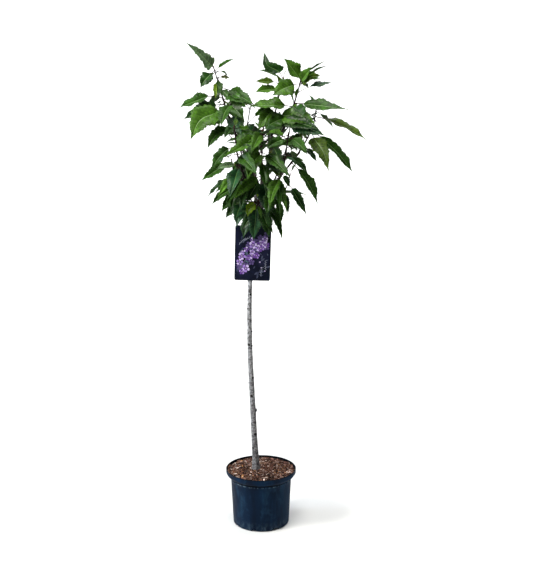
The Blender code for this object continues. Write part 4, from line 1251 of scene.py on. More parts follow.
def place_front_leaves(masses, space):
    """Add the front leaves, and take out rule leaves in their way or in the sky's."""
    front = Space()
    added = {}
    for mass in masses:
        name = mass.shoot.name
        added[name] = [dressed_leaf(accent, mass.stem) for accent in FRONT_LEAVES.get(name, ())]
        for leaf in added[name]:
            front.add(name, *leaf_solid(leaf))
            space.add(name, *leaf_solid(leaf))
    for mass in masses:
        kept = []
        for leaf in mass.leaves:
            clear = leaf.look or front.is_free(*leaf_solid(leaf, ROOT_CLEARANCE))
            if clear and (leaf.look or not blocks_sky(leaf)):
                kept.append(leaf)
        mass.leaves[:] = kept + added[mass.shoot.name]


# Leaf meshes

TEETH_PITCH = 0.0042
TOOTH_DEPTH = 0.045
BLADE_COLUMNS = (-1.0, -0.74, -0.4, -0.035, 0.0, 0.035, 0.4, 0.74, 1.0)
MIDRIB_COLUMNS = (3, 4)
BLADE_THICKNESS = 0.00042
RIM_THICKNESS = 0.00014
MIDRIB_DEPTH = 0.00055
MIDRIB_RIDGE = 0.0011
VEIN_PITCH = 0.0105
VEIN_LIFT = 0.0019
RAGGED = 0.06
STALK_STOUTNESS = 1.25
STALK_SIDES = 8
STEM_STOUTNESS = 1.18
VEIN_SLANT = 0.62
BLADE_PEAK = (0.52, 0.68)
BLADE_FOLD = (22, 46)
FOLD_DROP = 0.5
FOLD_EASE = 0.3
FOLD_VARIATION = 0.15
DRIP_FROM = 0.72
DRIP_END = 0.93
DRIP_SLIM = 0.42
TIP_SLIMMEST = 0.02
TWIST = 0.6
TWIST_CENTRE = 0.25
LOPSIDED = 0.07
LOBE_DEPTH = 0.085
LOBE_TURNS = (2.5, 5.5)
CURL = 0.035
TOOTH_HOOK = 0.45
WAVE_TURNS = (1.4, 2.6)
WAVE_SIZE = (0.08, 0.24)
RIB_WIDTH = 0.06
RIDGE_TAPER = 0.85
BUD_LENGTH = (0.0035, 0.0055)
END_BUD_LENGTH = 0.0065
BUD_STOUTNESS = 0.32
GLAND_PLACE = 0.93
GLAND_SIZE = 0.0009
GLAND_APART = 0.0013
BLADES_MADE = {}


def take_if_free(leaf, name, course, space, leaves):
    """Keep a finer leaf if it has room and blocks no sky, and say whether it was kept."""
    if not fits(leaf, name, course, space) or blocks_sky(leaf):
        return False
    space.add(name, *leaf_solid(leaf))
    leaves.append(leaf)
    return True


def grow_tips(mass, space, draw):
    """Young leaves at the tips of a mass's stem and twigs."""
    for course in [mass.stem] + mass.twigs:
        for k in range(TIP_LEAVES):
            azimuth = draw.uniform(0, 1) + k * GOLDEN_TURN
            pitch = radians(draw.uniform(*TIP_PITCH))
            roll = draw.uniform(-TIP_ROLL, TIP_ROLL)
            leaf = rule_leaf(course, TIP_FIRST - TIP_STEP * k, azimuth, pitch, roll,
                             draw.uniform(*TIP_BLADE), radians(draw.uniform(*TIP_BEND)))
            if take_if_free(leaf, mass.shoot.name, course, space, mass.leaves):
                tone = draw.choice(TIP_TONES)
                mass.leaves[-1] = leaf._replace(look=PLAIN_LOOK._replace(tone=tone))


def grow_spurs(mass, space, draw):
    """Short spurs with small leaves along a mass's stem."""
    count = int(lengths_along(mass.stem)[-1] / SPUR_STEP)
    for i in range(count):
        along = (i + draw.uniform(0.2, 0.8)) / count
        root, direction = point_on(mass.stem, along)
        azimuth = draw.uniform(0, 2 * pi)
        outward = across(Vector((cos(azimuth), sin(azimuth), 0.2)), direction)
        tip = root + (outward + 0.5 * direction).normalized() * draw.uniform(*SPUR_LENGTH)
        spur = [root, root.lerp(tip, 0.5), tip]
        grown = []
        for k in range(SPUR_LEAVES):
            blade = draw.uniform(*SPUR_BLADE)
            for _ in range(SPUR_TRIES):
                turn = azimuth + draw.uniform(-SPUR_SCATTER, SPUR_SCATTER) + SPUR_TURN * k
                pitch = radians(draw.uniform(*SPUR_PITCH))
                leaf = rule_leaf(spur, 0.95, turn, pitch, draw.uniform(-SPUR_ROLL, SPUR_ROLL),
                                 blade, radians(draw.uniform(*SPUR_BEND)))
                if take_if_free(leaf, mass.shoot.name, spur, space, grown):
                    break
                blade *= SPUR_SHRINK
        if grown:
            mass.leaves.extend(grown)
            mass.spurs.append(spur)


def blade_profile(t, peak):
    """Half width of the blade at t: fullest below the middle, with a drawn-out drip tip."""
    drip = np.clip((t - DRIP_FROM) / (DRIP_END - DRIP_FROM), 0.0, 1.0)
    body = np.sin(pi * t ** peak)
    return np.maximum(body * (1.0 - DRIP_SLIM * drip * drip * (3 - 2 * drip)), TIP_SLIMMEST * (1.0 - t))


def blade_shape(leaf, draw):
    """Upper and lower skins of a toothed blade, its count of rows, and at each point its place
    among the side veins and its share of the half width. Arrays go row by row, then across."""
    teeth = max(6, round(leaf.blade / TEETH_PITCH))
    rows = 2 * teeth + 1
    shares = np.linspace(0.0, 1.0, rows)
    t = shares[:, None]
    size = leaf.blade / LEAF_BLADE
    line = [leaf_line(leaf, leaf.petiole + s * leaf.blade) for s in shares]
    centre = np.array([p for p, _ in line])
    ahead = np.array([d for _, d in line])
    side = np.cross(ahead, np.array(leaf.face))
    side /= np.linalg.norm(side, axis=1)[:, None]
    up = np.cross(side, ahead)

    angle = draw.uniform(-TWIST, TWIST) * (t - TWIST_CENTRE)
    side, up = side * np.cos(angle) + up * np.sin(angle), up * np.cos(angle) - side * np.sin(angle)

    columns = np.array(BLADE_COLUMNS)
    far, hand = np.abs(columns), np.sign(columns)
    rim = far == 1.0
    odd = np.arange(rows)[:, None] % 2
    peak = draw.uniform(*BLADE_PEAK)
    look = leaf.look or PLAIN_LOOK
    slim = LOWER_SLIM if leaf.look is None and leaf.root.z < SHADED_BELOW else 1.0
    half = leaf.width / 2 * look.broad * slim * blade_profile(t, look.peak or peak)
    lean = 1.0 + LOPSIDED * draw.uniform(-1, 1) * hand
    tooth = (2 * odd - 1) * TOOTH_DEPTH * np.minimum(1.0, 4 * (1.0 - t))
    lobes = LOBE_DEPTH * np.sin(2 * pi * draw.uniform(*LOBE_TURNS) * t + draw.uniform(0, 6) + 2.0 * hand)
    lobes = lobes + RAGGED * np.sin(2 * pi * (7.5 + 3.0 * draw.random()) * t + 1.7 * hand)
    width = half * far * lean * (1.0 + (tooth + lobes) * rim)
    folds = [draw.uniform(*BLADE_FOLD) for _ in range(2)]
    if look.fold:
        folds = [look.fold + FOLD_VARIATION * (f - sum(BLADE_FOLD) / 2) for f in folds]
    fold = np.radians(np.where(hand < 0, folds[0], folds[1])) * (1.0 - FOLD_EASE * t)
    spread = width * np.cos(fold) * hand
    curl = look.curl or CURL * draw.uniform(-1, 1)
    sway = curl * leaf.blade * np.sin(pi * t) ** 2
    forward = TOOTH_HOOK * (leaf.blade / rows) * odd

    wave_turns = draw.uniform(*WAVE_TURNS)
    wave_size = draw.uniform(*WAVE_SIZE) * half
    phase = draw.uniform(0, 2 * pi)
    wave = np.sin(2 * pi * wave_turns * t + phase + 1.3 * hand) * far ** 2
    run = t * leaf.blade - VEIN_SLANT * width
    pitch = VEIN_PITCH * size ** 0.5
    quilt = VEIN_LIFT * size * np.abs(np.sin(pi * run / pitch)) * (far * (1.15 - far) * 3.0)
    lift = width * np.sin(fold) * (1.3 - 0.42 * far ** 2) + wave * wave_size + quilt
    lift = lift - FOLD_DROP * half * sin(radians(sum(folds) / 2))
    rib = np.exp(-(far / RIB_WIDTH) ** 2)
    upper_lift = lift - MIDRIB_DEPTH * size * rib
    thick = RIM_THICKNESS + (BLADE_THICKNESS - RIM_THICKNESS) * (1.0 - far ** 3)
    lower_lift = lift - thick - MIDRIB_RIDGE * size * (1.0 - RIDGE_TAPER * t) * rib

    place = (centre[:, None, :] + side[:, None, :] * (spread + sway)[:, :, None]
             + ahead[:, None, :] * (forward * rim)[:, :, None])
    upper, lower = ((place + up[:, None, :] * rise[:, :, None]).reshape(-1, 3)
                    for rise in (upper_lift, lower_lift))
    marks = np.stack([run / pitch, np.broadcast_to(far, run.shape)], axis=2).reshape(-1, 2)
    return np.vstack([upper, lower]), rows, np.vstack([marks, marks])


def deal_tone(leaf, draw):
    if leaf.look:
        return leaf.look.tone
    deal = LOWER_DEAL if leaf.root.z < SHADED_BELOW else UPPER_DEAL
    return draw.choices(list(deal), list(deal.values()))[0]


def add_petiole(leaf, petioles):
    """A stalk that thickens to its foot and runs on under the blade."""
    runs = (-0.4, 0.0, 0.12, 0.4, 0.7, 1.0, 1.12)
    sizes = (1.7, 1.6, 1.15, 0.9, 0.85, 0.95, 0.55)
    scale = PETIOLE_RADIUS * (0.55 + 0.45 * leaf.blade / LEAF_BLADE)
    points = []
    for run in runs:
        length = run * leaf.petiole if run >= 0 else run * 4 * PETIOLE_RADIUS
        point, _ = leaf_line(leaf, length)
        points.append(point)
    sink = across(leaf.face, leaf.chord) * BLADE_THICKNESS
    points[-1] = points[-1] - 2 * sink
    petioles.add(*swept(points, [STALK_STOUTNESS * scale * s for s in sizes], STALK_SIDES))


def add_glands(leaf, glands):
    """The pair of small nectar glands where a cherry's stalk meets its blade."""
    point, ahead = leaf_line(leaf, GLAND_PLACE * leaf.petiole)
    side = ahead.cross(leaf.face).normalized()
    size = GLAND_SIZE * (0.5 + 0.5 * leaf.blade / LEAF_BLADE)
    for hand in (-1, 1):
        middle = point + side * hand * GLAND_APART
        glands.add(*ball(middle, side * size, ahead * size, leaf.face * size))


def ball(middle, along, second, third, rings=4, sides=8):
    """A small ellipsoid from its three half axes."""
    vertices = [middle - along]
    for r in range(1, rings):
        a = pi * r / rings
        for b in turns(sides):
            vertices.append(middle - along * cos(a) + (second * cos(b) + third * sin(b)) * sin(a))
    return vertices + [middle + along], poled(rings - 1, sides)


def add_bud(point, ahead, length, buds):
    """A pointed bud: a drop that thins to its tip."""
    shares = (-0.15, 0.0, 0.25, 0.55, 0.8, 1.0)
    widths = (0.55, 0.85, 1.0, 0.78, 0.4, 0.06)
    points = [point + ahead * length * s for s in shares]
    buds.add(*swept(points, [BUD_STOUTNESS * length * w for w in widths], STALK_SIDES))


def blade_faces(rows, tone):
    """Faces of a blade with a number of rows, and their material numbers."""
    if rows not in BLADES_MADE:
        faces = plate_faces(rows, len(BLADE_COLUMNS))
        quads = (rows - 1) * (len(BLADE_COLUMNS) - 1)
        kinds = []
        for i, face in enumerate(faces):
            vein = "vein" if face[0] % len(BLADE_COLUMNS) in MIDRIB_COLUMNS else ""
            if i < quads:
                kinds.append(vein or "upper")
            elif i < 2 * quads:
                kinds.append("underside_vein" if vein else "underside")
            else:
                kinds.append("upper")
        BLADES_MADE[rows] = (faces, kinds)
    faces, kinds = BLADES_MADE[rows]
    return faces, [tone if kind == "upper" else LEAF_MATERIALS.index(kind) for kind in kinds]


def make_leaves(masses):
    materials = [leaf_material("leaf_" + name, TONES[name], 0.34 if name != "pale" else 0.48)
                 for name in TONE_NAMES]
    materials.append(plain_material("leaf_vein", VEIN_COLOUR, 0.4))
    materials.append(underside_material("leaf_underside", UNDERSIDE_COLOUR))
    materials.append(plain_material("leaf_underside_vein", UNDERSIDE_VEIN_COLOUR, 0.6))
    petioles, glands, buds = Gather(), Gather(), Gather()
    for mass in masses:
        draw = random.Random(mass.shoot.seed + BLADE_SEEDS)
        blades = Gather()
        for leaf in mass.leaves:
            tone = TONE_NAMES.index(deal_tone(leaf, draw))
            vertices, rows, marks = blade_shape(leaf, draw)
            blades.add(vertices, *blade_faces(rows, tone), marks)
            add_petiole(leaf, petioles)
            add_glands(leaf, glands)
            above = across(UP, leaf.chord)
            if leaf.blade > SPUR_BLADE[1]:
                start = leaf.root + above * PETIOLE_RADIUS
                add_bud(start, (leaf.chord * 0.5 + above).normalized(), draw.uniform(*BUD_LENGTH), buds)
        name = mass.shoot.name
        blades.piece("leaves_" + name, materials, "foliage", "foliage_" + name)
        _, ahead = point_on(mass.stem, 1.0)
        add_bud(mass.stem[-1], ahead, END_BUD_LENGTH, buds)
    petioles.piece("petioles", [stalk_material("petiole_plum", (0.022, 0.008, 0.009), 0.5)], "foliage")
    glands.piece("leaf_glands", [plain_material("gland_red", (0.09, 0.02, 0.012), 0.35)], "foliage")
    buds.piece("leaf_buds", [stalk_material("bud_brown", (0.06, 0.028, 0.016), 0.5)], "foliage")


# Limbs

STEM_STEP = 0.0035
FINE_TWIG_STEP = 0.005
BOUGH_STEP = 0.003
BOUGH_SIDES = 16
STEM_SIDES = 10
STEM_RELIEF = (0.1, 0.04)
BOUGH_RELIEF = (0.09, 0.05)
NODE_REACH = 0.0035
NODE_SWELLING = 0.22
COLLAR_ON_TRUNK = 0.0085
COLLAR_ON_BOUGH = 0.003
COLLAR_FLARE = 0.55
COLLAR_REACH = 0.008


def limb_relief(seed, rough, bands):
    """A seeded relief for a limb's bark: broad lumps, and fine rings round it."""
    shift = Vector((seed * 1.7, seed * 0.9, seed * 0.3))

    def relief(point, outward):
        lump = noise.noise((point + outward * 0.01) * 38.0 + shift)
        ring = noise.noise(Vector((outward.x * 0.6, outward.y * 0.6, point.z * 420.0)) + shift)
        return 1.0 + rough * lump + bands * ring
    return relief


def make_stems(masses):
    """The leafy stems, with swellings where leaves leave them, and the twigs and spurs."""
    stems = Gather()
    for mass in masses:
        shoot = mass.shoot
        fine = smooth_course(mass.stem, STEM_STEP)
        total = lengths_along(fine)
        radii = []
        roots = [leaf.root for leaf in mass.leaves]
        for point, length in zip(fine, total):
            share = shoot.bare + (1 - shoot.bare) * length / total[-1]
            node = sum(exp(-((point - root).length / NODE_REACH) ** 2) for root in roots)
            swelling = 1.0 + NODE_SWELLING * min(1.5, node)
            radii.append(STEM_STOUTNESS * shoot_radius(shoot, share) * swelling)
        stems.add(*swept(fine, radii, STEM_SIDES, limb_relief(shoot.seed, *STEM_RELIEF)))
        for twig in mass.twigs:
            fine = smooth_course(twig, FINE_TWIG_STEP)
            radii = [TWIG_RADIUS * (1.25 - 0.55 * k / len(fine)) for k in range(len(fine))]
            stems.add(*swept(fine, radii, STALK_SIDES, limb_relief(shoot.seed + 0.5, *STEM_RELIEF)))
        for spur in mass.spurs:
            stems.add(*swept(spur, [share * SPUR_RADIUS for share in (1.3, 1.0, 0.8)], STALK_SIDES))
    stems.piece("shoot_stems", [stalk_material("shoot_bark", (0.016, 0.009, 0.009), 0.55)], "foliage")


def make_boughs(masses):
    """The bare boughs: tapering limbs with a collar where each leaves its parent."""
    boughs = Gather()
    nodes = []
    for mass in masses:
        shoot = mass.shoot
        if not shoot.bare:
            continue
        nodes.append("bough_" + shoot.name)
        whole = lengths_along(mass.course)[-1]
        fine = smooth_course(mass.course, BOUGH_STEP)
        kept = [(p, s) for p, s in zip(fine, lengths_along(fine)) if s <= shoot.bare * whole + 0.002]
        collar = COLLAR_ON_TRUNK if shoot.parent == "trunk" else COLLAR_ON_BOUGH
        radii = []
        for _, length in kept:
            flare = 1.0 + COLLAR_FLARE * exp(-(max(0.0, length - collar) / COLLAR_REACH) ** 1.3)
            radii.append(shoot_radius(shoot, length / whole) * flare)
        boughs.add(*swept([p for p, _ in kept], radii, BOUGH_SIDES, limb_relief(shoot.seed, *BOUGH_RELIEF)))
    boughs.piece("bark_boughs", [bough_material()], "bark", *nodes)


# Knots on the trunk: height, compass angle from the front (left is negative), size
KNOTS = [(0.644, -18, 0.0038), (0.64, 48, 0.0034), (0.527, 35, 0.004), (0.462, -12, 0.0042),
         (0.408, 88, 0.0058), (0.324, 22, 0.0046), (0.273, -38, 0.0036), (0.82, 20, 0.0034),
         (0.73, 160, 0.004), (0.58, 205, 0.0038), (0.36, 150, 0.0042), (0.9, -70, 0.0034),
         (0.505, -120, 0.0036), (0.238, 110, 0.0044), (0.69, 65, 0.003), (0.77, -50, 0.003)]
KNOT_SWELL = 0.42
KNOT_PIT = 0.34
KNOT_PIT_WIDTH = 0.38
TRUNK_SIDES = 48
TRUNK_RING = 0.0016
LUMP_LIFT = 0.00042
GRAIN_LIFT = 0.00014
SCAR_COUNT = 9
SCAR_WIDTH = 0.0016
SCAR_LIFT = 0.00035
LOBES = 5
LOBE_LIFT = 0.0017
LOBE_REACH = 0.022
# Rings that close the trunk's top: the share of its radius and how far they rise
HEALED_TOP = ((0.8, 0.0012), (0.52, 0.001), (0.25, 0.0004))
LENTICEL_COUNT = 330
LENTICEL_WIDTH = (0.0009, 0.0024)
LENTICEL_HEIGHT = (0.0003, 0.00055)
LENTICEL_DEPTH = 0.0005


def trunk_surface(height, angle):
    """A point of the smooth trunk and the direction out of it there; 0 is the front."""
    outward = Vector((sin(angle), -cos(angle), 0.0))
    return on_axis(TRUNK_FINE, height) + outward * trunk_radius(height), outward


def add_mark(marks, place, outward, wide, high, deep, rings=4, sides=8):
    """A small ellipsoid set on the trunk, from its half width, height and depth."""
    upward = across(UP, outward)
    marks.add(*ball(place, upward.cross(outward) * wide, upward * high, outward * deep, rings, sides))


def make_trunk():
    """The trunk's skin ring by ring, with knots, bud scars, ridges and a healed top."""
    draw = random.Random(TRUNK_SEED)
    knots = [(trunk_surface(z, radians(angle))[0], size) for z, angle, size in KNOTS]
    scars = [TRUNK_BASE + draw.uniform(0.1, 0.9) * 0.9 for _ in range(SCAR_COUNT)]
    heights = []
    height = TRUNK_BASE
    while height < TRUNK_TOP - 0.001:
        heights.append(height)
        height += TRUNK_RING
    vertices = []
    for height in heights:
        scar = sum(exp(-((height - other) / SCAR_WIDTH) ** 2) for other in scars)
        near = [(foot, size) for foot, size in knots if abs(foot.z - height) < 4 * size]
        foot_lobes = exp(-(height - TRUNK_BASE) / LOBE_REACH)
        for angle in turns(TRUNK_SIDES):
            point, outward = trunk_surface(height, angle)
            lump = noise.noise(Vector((point.x * 60, point.y * 60, height * 14)))
            grain = noise.noise(Vector((outward.x * 1.6, outward.y * 1.6, height * 520)))
            lift = LUMP_LIFT * lump + GRAIN_LIFT * grain + SCAR_LIFT * scar
            lift += LOBE_LIFT * foot_lobes * sin(LOBES * angle + 0.7)
            for foot, size in near:
                away = (point - foot).length / size
                pit = KNOT_PIT * size * exp(-(away / KNOT_PIT_WIDTH) ** 2)
                lift += KNOT_SWELL * size * exp(-away ** 2) - pit
            vertices.append(point + outward * lift)
    top = on_axis(TRUNK_FINE, heights[-1])
    rim = vertices[-TRUNK_SIDES:]
    for share, rise in HEALED_TOP:
        vertices += [top + (point - top) * share + UP * rise for point in rim]
    faces = [face[::-1] for face in grid_faces(len(heights) + len(HEALED_TOP), TRUNK_SIDES, True)]
    faces.append(tuple(reversed(range(len(vertices) - TRUNK_SIDES, len(vertices)))))
    faces.append(tuple(range(TRUNK_SIDES)))
    trunk = Gather()
    trunk.add(vertices, faces)
    trunk.piece("bark_trunk", [bark_material()], "bark", "trunk")

    marks = Gather()
    for foot, size in knots:
        outward = (foot - on_axis(TRUNK_FINE, foot.z)).normalized()
        add_mark(marks, foot + outward * 0.22 * size, outward, 1.25 * size, size, 0.58 * size, 6, 12)
    marks.piece("bark_knots", [stalk_material("knot_dark", (0.008, 0.006, 0.006), 0.8)], "bark")

    lenticels = Gather()
    for _ in range(LENTICEL_COUNT):
        height = TRUNK_BASE + 0.012 + draw.random() * (TRUNK_TOP - TRUNK_BASE - 0.03)
        point, outward = trunk_surface(height, draw.uniform(0, 2 * pi))
        add_mark(lenticels, point, outward, draw.uniform(*LENTICEL_WIDTH), draw.uniform(*LENTICEL_HEIGHT),
                 LENTICEL_DEPTH)
    lenticels.piece("bark_lenticels", [stalk_material("lenticel_tan", (0.06, 0.048, 0.04), 0.85)], "bark")


# Pot

POT_SIDES = 160
POT_RIM_RADIUS = (POT_HIGH.x - POT_LOW.x) / 2
POT_HEIGHT = POT_HIGH.z
POT_LIP_HEIGHT = 0.012
POT_BAND_HEIGHT = 0.034
POT_BAND_FOOT = POT_HEIGHT - POT_BAND_HEIGHT
POT_NECK_RADIUS = 0.1055
POT_FOOT_RADIUS = 0.098
POT_BEAD = 0.0015
POT_WALL = 0.002
POT_FOOT_ROUND = 0.006
POT_CORNER = 0.019
POT_ARCHES = 8
POT_RAISE = 0.009
POT_RING_INSIDE = 0.09
POT_INNER_FLOOR = 0.012
POT_ARCH_RADIUS = 0.0095
POT_ARCH_DEPTH = 0.03
POT_ARCH_OUT = 0.004
POT_ARCH_DROP = 0.003
POT_ARCH_TURN = radians(9)
POT_WORN_ARCH = 6
POT_WORN_RADIUS = 0.015
POT_WORN_DROP = 0.0065
POT_INSIDE_ROWS = 21
POT_GIVE = 0.00016


def arc(centre, radius, first, last, steps):
    """Points of an arc in a profile, angles in degrees."""
    angles = [radians(first + (last - first) * k / steps) for k in range(steps + 1)]
    return [(centre[0] + radius * cos(a), centre[1] + radius * sin(a)) for a in angles]


def straight(first, last, steps):
    """Points of a straight run in a profile, without its first."""
    return [(first[0] + (last[0] - first[0]) * k / steps, first[1] + (last[1] - first[1]) * k / steps)
            for k in range(1, steps + 1)]


def pot_profile():
    """The pot's section from the middle of its floor inside, over the rim, to its underside."""
    lip_foot = POT_HEIGHT - POT_LIP_HEIGHT
    edge = POT_WALL / 2
    inner_neck = POT_NECK_RADIUS - POT_WALL
    inner_foot = POT_FOOT_RADIUS - POT_WALL
    inner_rim = POT_RIM_RADIUS - POT_WALL
    corner_top = POT_INNER_FLOOR + POT_CORNER
    under_bead = POT_BAND_FOOT - 2 * POT_BEAD
    over_bead = POT_BAND_FOOT + 2 * POT_BEAD
    points = [(0.0, POT_INNER_FLOOR)]
    points += arc((inner_foot - POT_CORNER, corner_top), POT_CORNER, -90, 0, 6)
    points += straight((inner_foot, corner_top), (inner_neck, POT_BAND_FOOT), 6)
    points += [(inner_neck + (inner_rim - inner_neck) * sin(pi / 2 * k / 6),
                POT_BAND_FOOT + (lip_foot - POT_BAND_FOOT) * k / 6) for k in range(1, 7)]
    points += arc((POT_RIM_RADIUS - edge, POT_HEIGHT - edge), edge, 180, 0, 8)
    points += [(POT_RIM_RADIUS, POT_HEIGHT - 0.0035), (POT_RIM_RADIUS - 0.0005, POT_HEIGHT - 0.0045),
               (POT_RIM_RADIUS - 0.0003, lip_foot)]
    flare = POT_RIM_RADIUS - 0.0003 - POT_NECK_RADIUS
    for k in range(1, 8):
        points.append((POT_NECK_RADIUS + flare * (1.0 - (k / 8) ** 1.7),
                       over_bead + (lip_foot - over_bead) * (1.0 - k / 8)))
    points += arc((POT_NECK_RADIUS, POT_BAND_FOOT), 1.4 * POT_BEAD, 62, -62, 8)
    points += [(POT_NECK_RADIUS, under_bead)]
    points += straight((POT_NECK_RADIUS, under_bead), (POT_FOOT_RADIUS, POT_FOOT_ROUND), 14)
    points += arc((POT_FOOT_RADIUS - POT_FOOT_ROUND, POT_FOOT_ROUND), POT_FOOT_ROUND, 0, -90, 6)[1:]
    points += [(POT_RING_INSIDE, 0.0), (POT_RING_INSIDE - 0.0005, POT_RAISE - 0.0005),
               (POT_RING_INSIDE - 0.0015, POT_RAISE), (0.5 * POT_FOOT_RADIUS, POT_RAISE), (0.0, POT_RAISE)]
    return points


def make_pot():
    """The pot turned from its section, a touch out of true, with arches cut at its foot."""
    profile = pot_profile()
    draw = random.Random(POT_SEED)
    waves = [(n, draw.uniform(0, 2 * pi), draw.uniform(0.4, 1.0)) for n in (2, 3, 7, 11, 17, 26)]
    vertices = [(0.0, 0.0, profile[0][1])]
    for radius, height in profile[1:-1]:
        give = POT_GIVE * min(1.0, height / 0.05) * (0.3 if height > POT_HEIGHT - 0.002 else 1.0)
        for angle in turns(POT_SIDES):
            wobble = sum(size * sin(n * angle + phase + 3.0 * height * n) for n, phase, size in waves)
            out = min(radius + give * wobble, POT_RIM_RADIUS)
            vertices.append((out * cos(angle), out * sin(angle), height))
    vertices.append((0.0, 0.0, POT_RAISE))
    rows = len(profile) - 2
    inside_faces = POT_INSIDE_ROWS * POT_SIDES
    slots = [1] * inside_faces + [0] * ((rows - 1) * POT_SIDES - inside_faces)
    shell = Gather()
    shell.add(vertices, poled(rows, POT_SIDES), slots + [1] * POT_SIDES + [0] * POT_SIDES)
    # The pot's inside: the plastic made near black, darker than the outside, as painted shade
    inside = plain_material("pot_inside", (0.0012, 0.0022, 0.004), 0.8, 0.04)
    pot = shell.piece("pot_shell", [pot_material(), inside], "pot_plastic", "pot", sharp=40)
    fix_normals(pot.data)
    for i in range(POT_ARCHES):
        outward = heading(2 * pi * (i + 0.5) / POT_ARCHES + POT_ARCH_TURN)
        worn = i == POT_WORN_ARCH
        radius, drop = (POT_WORN_RADIUS, POT_WORN_DROP) if worn else (POT_ARCH_RADIUS, POT_ARCH_DROP)
        bpy.ops.mesh.primitive_cylinder_add(vertices=32, radius=radius, depth=POT_ARCH_DEPTH)
        arch = bpy.context.object
        arch.rotation_euler = outward.to_track_quat("Z", "Y").to_euler()
        arch.location = outward * (POT_FOOT_RADIUS + POT_ARCH_OUT) - UP * drop
        cut_and_apply(pot, arch)


def fix_normals(mesh):
    shape = bmesh.new()
    shape.from_mesh(mesh)
    bmesh.ops.recalc_face_normals(shape, faces=shape.faces)
    shape.to_mesh(mesh)
    shape.free()


def cut_and_apply(obj, cutter):
    boolean = obj.modifiers.new("cut", "BOOLEAN")
    boolean.operation = "DIFFERENCE"
    boolean.solver = "EXACT"
    boolean.object = cutter
    bpy.context.view_layer.update()
    graph = bpy.context.evaluated_depsgraph_get()
    mesh = bpy.data.meshes.new_from_object(obj.evaluated_get(graph))
    obj.modifiers.clear()
    obj.data = mesh
    bpy.data.objects.remove(cutter, do_unlink=True)


# Mulch

# Chip colours and how often each is dealt: mostly the bark's own browns, but the near-black chips stand for
# painted shade in the gaps between chips, and the pale ones for painted highlights
CHIP_COLOURS = [((0.105, 0.047, 0.03), 24), ((0.05, 0.024, 0.016), 20), ((0.005, 0.003, 0.003), 28),
                ((0.24, 0.145, 0.11), 12), ((0.2, 0.095, 0.08), 8), ((0.34, 0.16, 0.06), 3),
                ((0.64, 0.5, 0.44), 6)]
CHIP_COUNT = 4000
CHIP_LENGTH = (0.004, 0.014)
CHIP_WIDTH = (0.28, 0.55)
CHIP_THICKNESS = (0.28, 0.5)
CHIP_TILT = 26
CHIP_ROLL = 35
CHIP_LOWEST = 0.0004
CHIP_LAYERS = 0.0066
CHIP_STEM_ROOM = 0.0145
CHIP_RIM_ROOM = 0.0012
FINE_COUNT = 5000
FINE_LENGTH = (0.0018, 0.005)
FINE_WIDTH = (0.3, 0.8)
FINE_LOWEST = 0.002
FINE_LAYERS = 0.0052
FINE_STEM_ROOM = 0.013
FINE_RIM_ROOM = 0.004
BED_RINGS = 34
BED_SIDES = 120
BED_RADIUS = 0.1198
BED_SUNK = 0.0012
BED_BUMPS = 0.0026
BED_HEAP = 0.0015
BED_EDGE_DROP = 0.0038


def bed_height(x, y):
    """Height of the mulch: a little heaped round the stem, with small hollows."""
    away = hypot(x, y) / BED_RADIUS
    bumps = noise.noise(Vector((x * 55, y * 55, 3.0))) + 0.5 * noise.noise(Vector((x * 140, y * 140, 8.0)))
    edge = max(0.0, away - 0.8) / 0.2
    heap = BED_HEAP * (1.0 - away ** 2) - BED_EDGE_DROP * edge ** 1.5
    return MEDIUM_TOP - BED_SUNK + BED_BUMPS * bumps + heap


def make_bed():
    """The soil under the chips, closed below like the plug that it stands for."""
    vertices = [(0.0, 0.0, bed_height(0.0, 0.0))]
    for r in range(1, BED_RINGS + 1):
        vertices += [(x, y, bed_height(x, y)) for x, y in circle(BED_RADIUS * r / BED_RINGS, BED_SIDES)]
    inner_neck = POT_NECK_RADIUS - POT_WALL - GAP
    inner_foot = POT_FOOT_RADIUS - POT_WALL - GAP
    below = [(BED_RADIUS, POT_HEIGHT - POT_LIP_HEIGHT), (inner_neck, POT_BAND_FOOT),
             (inner_foot, POT_INNER_FLOOR + POT_CORNER), (inner_foot - POT_CORNER, POT_INNER_FLOOR + GAP)]
    for radius, height in below:
        vertices += [(x, y, height) for x, y in circle(radius, BED_SIDES)]
    vertices.append((0.0, 0.0, POT_INNER_FLOOR + GAP))
    bed = Gather()
    bed.add(vertices, [face[::-1] for face in poled(BED_RINGS + len(below), BED_SIDES)])
    obj = bed.piece("mulch_bed", [soil_material()], "bark_mulch", "growing_medium")
    fix_normals(obj.data)


def chip_shape(draw, middle, along, up, length, width, thick):
    """A split of bark: six-sided, thinner to its ends, a little bent and ragged."""
    side = along.cross(up).normalized()
    bend = draw.uniform(-0.12, 0.12) * length
    vertices = []
    for s, size in ((-0.5, draw.uniform(0.25, 0.7)), (-0.2, 1.0), (0.18, draw.uniform(0.85, 1.1)),
                    (0.5, draw.uniform(0.2, 0.65))):
        centre = middle + along * s * length + up * bend * (1.0 - 4 * s * s)
        for k in range(6):
            angle = pi / 3 * k
            ragged = draw.uniform(0.75, 1.2) * size
            vertices.append(centre + side * (width / 2 * cos(angle) * ragged)
                            + up * (thick / 2 * sin(angle) * ragged)
                            + along * draw.uniform(-0.05, 0.05) * length)
    return vertices, grid_faces(4, 6, True) + [tuple(range(5, -1, -1)), tuple(range(18, 24))]


def strewn_place(draw, radius):
    away = radius * sqrt(draw.random())
    angle = draw.uniform(0, 2 * pi)
    return away * cos(angle), away * sin(angle)


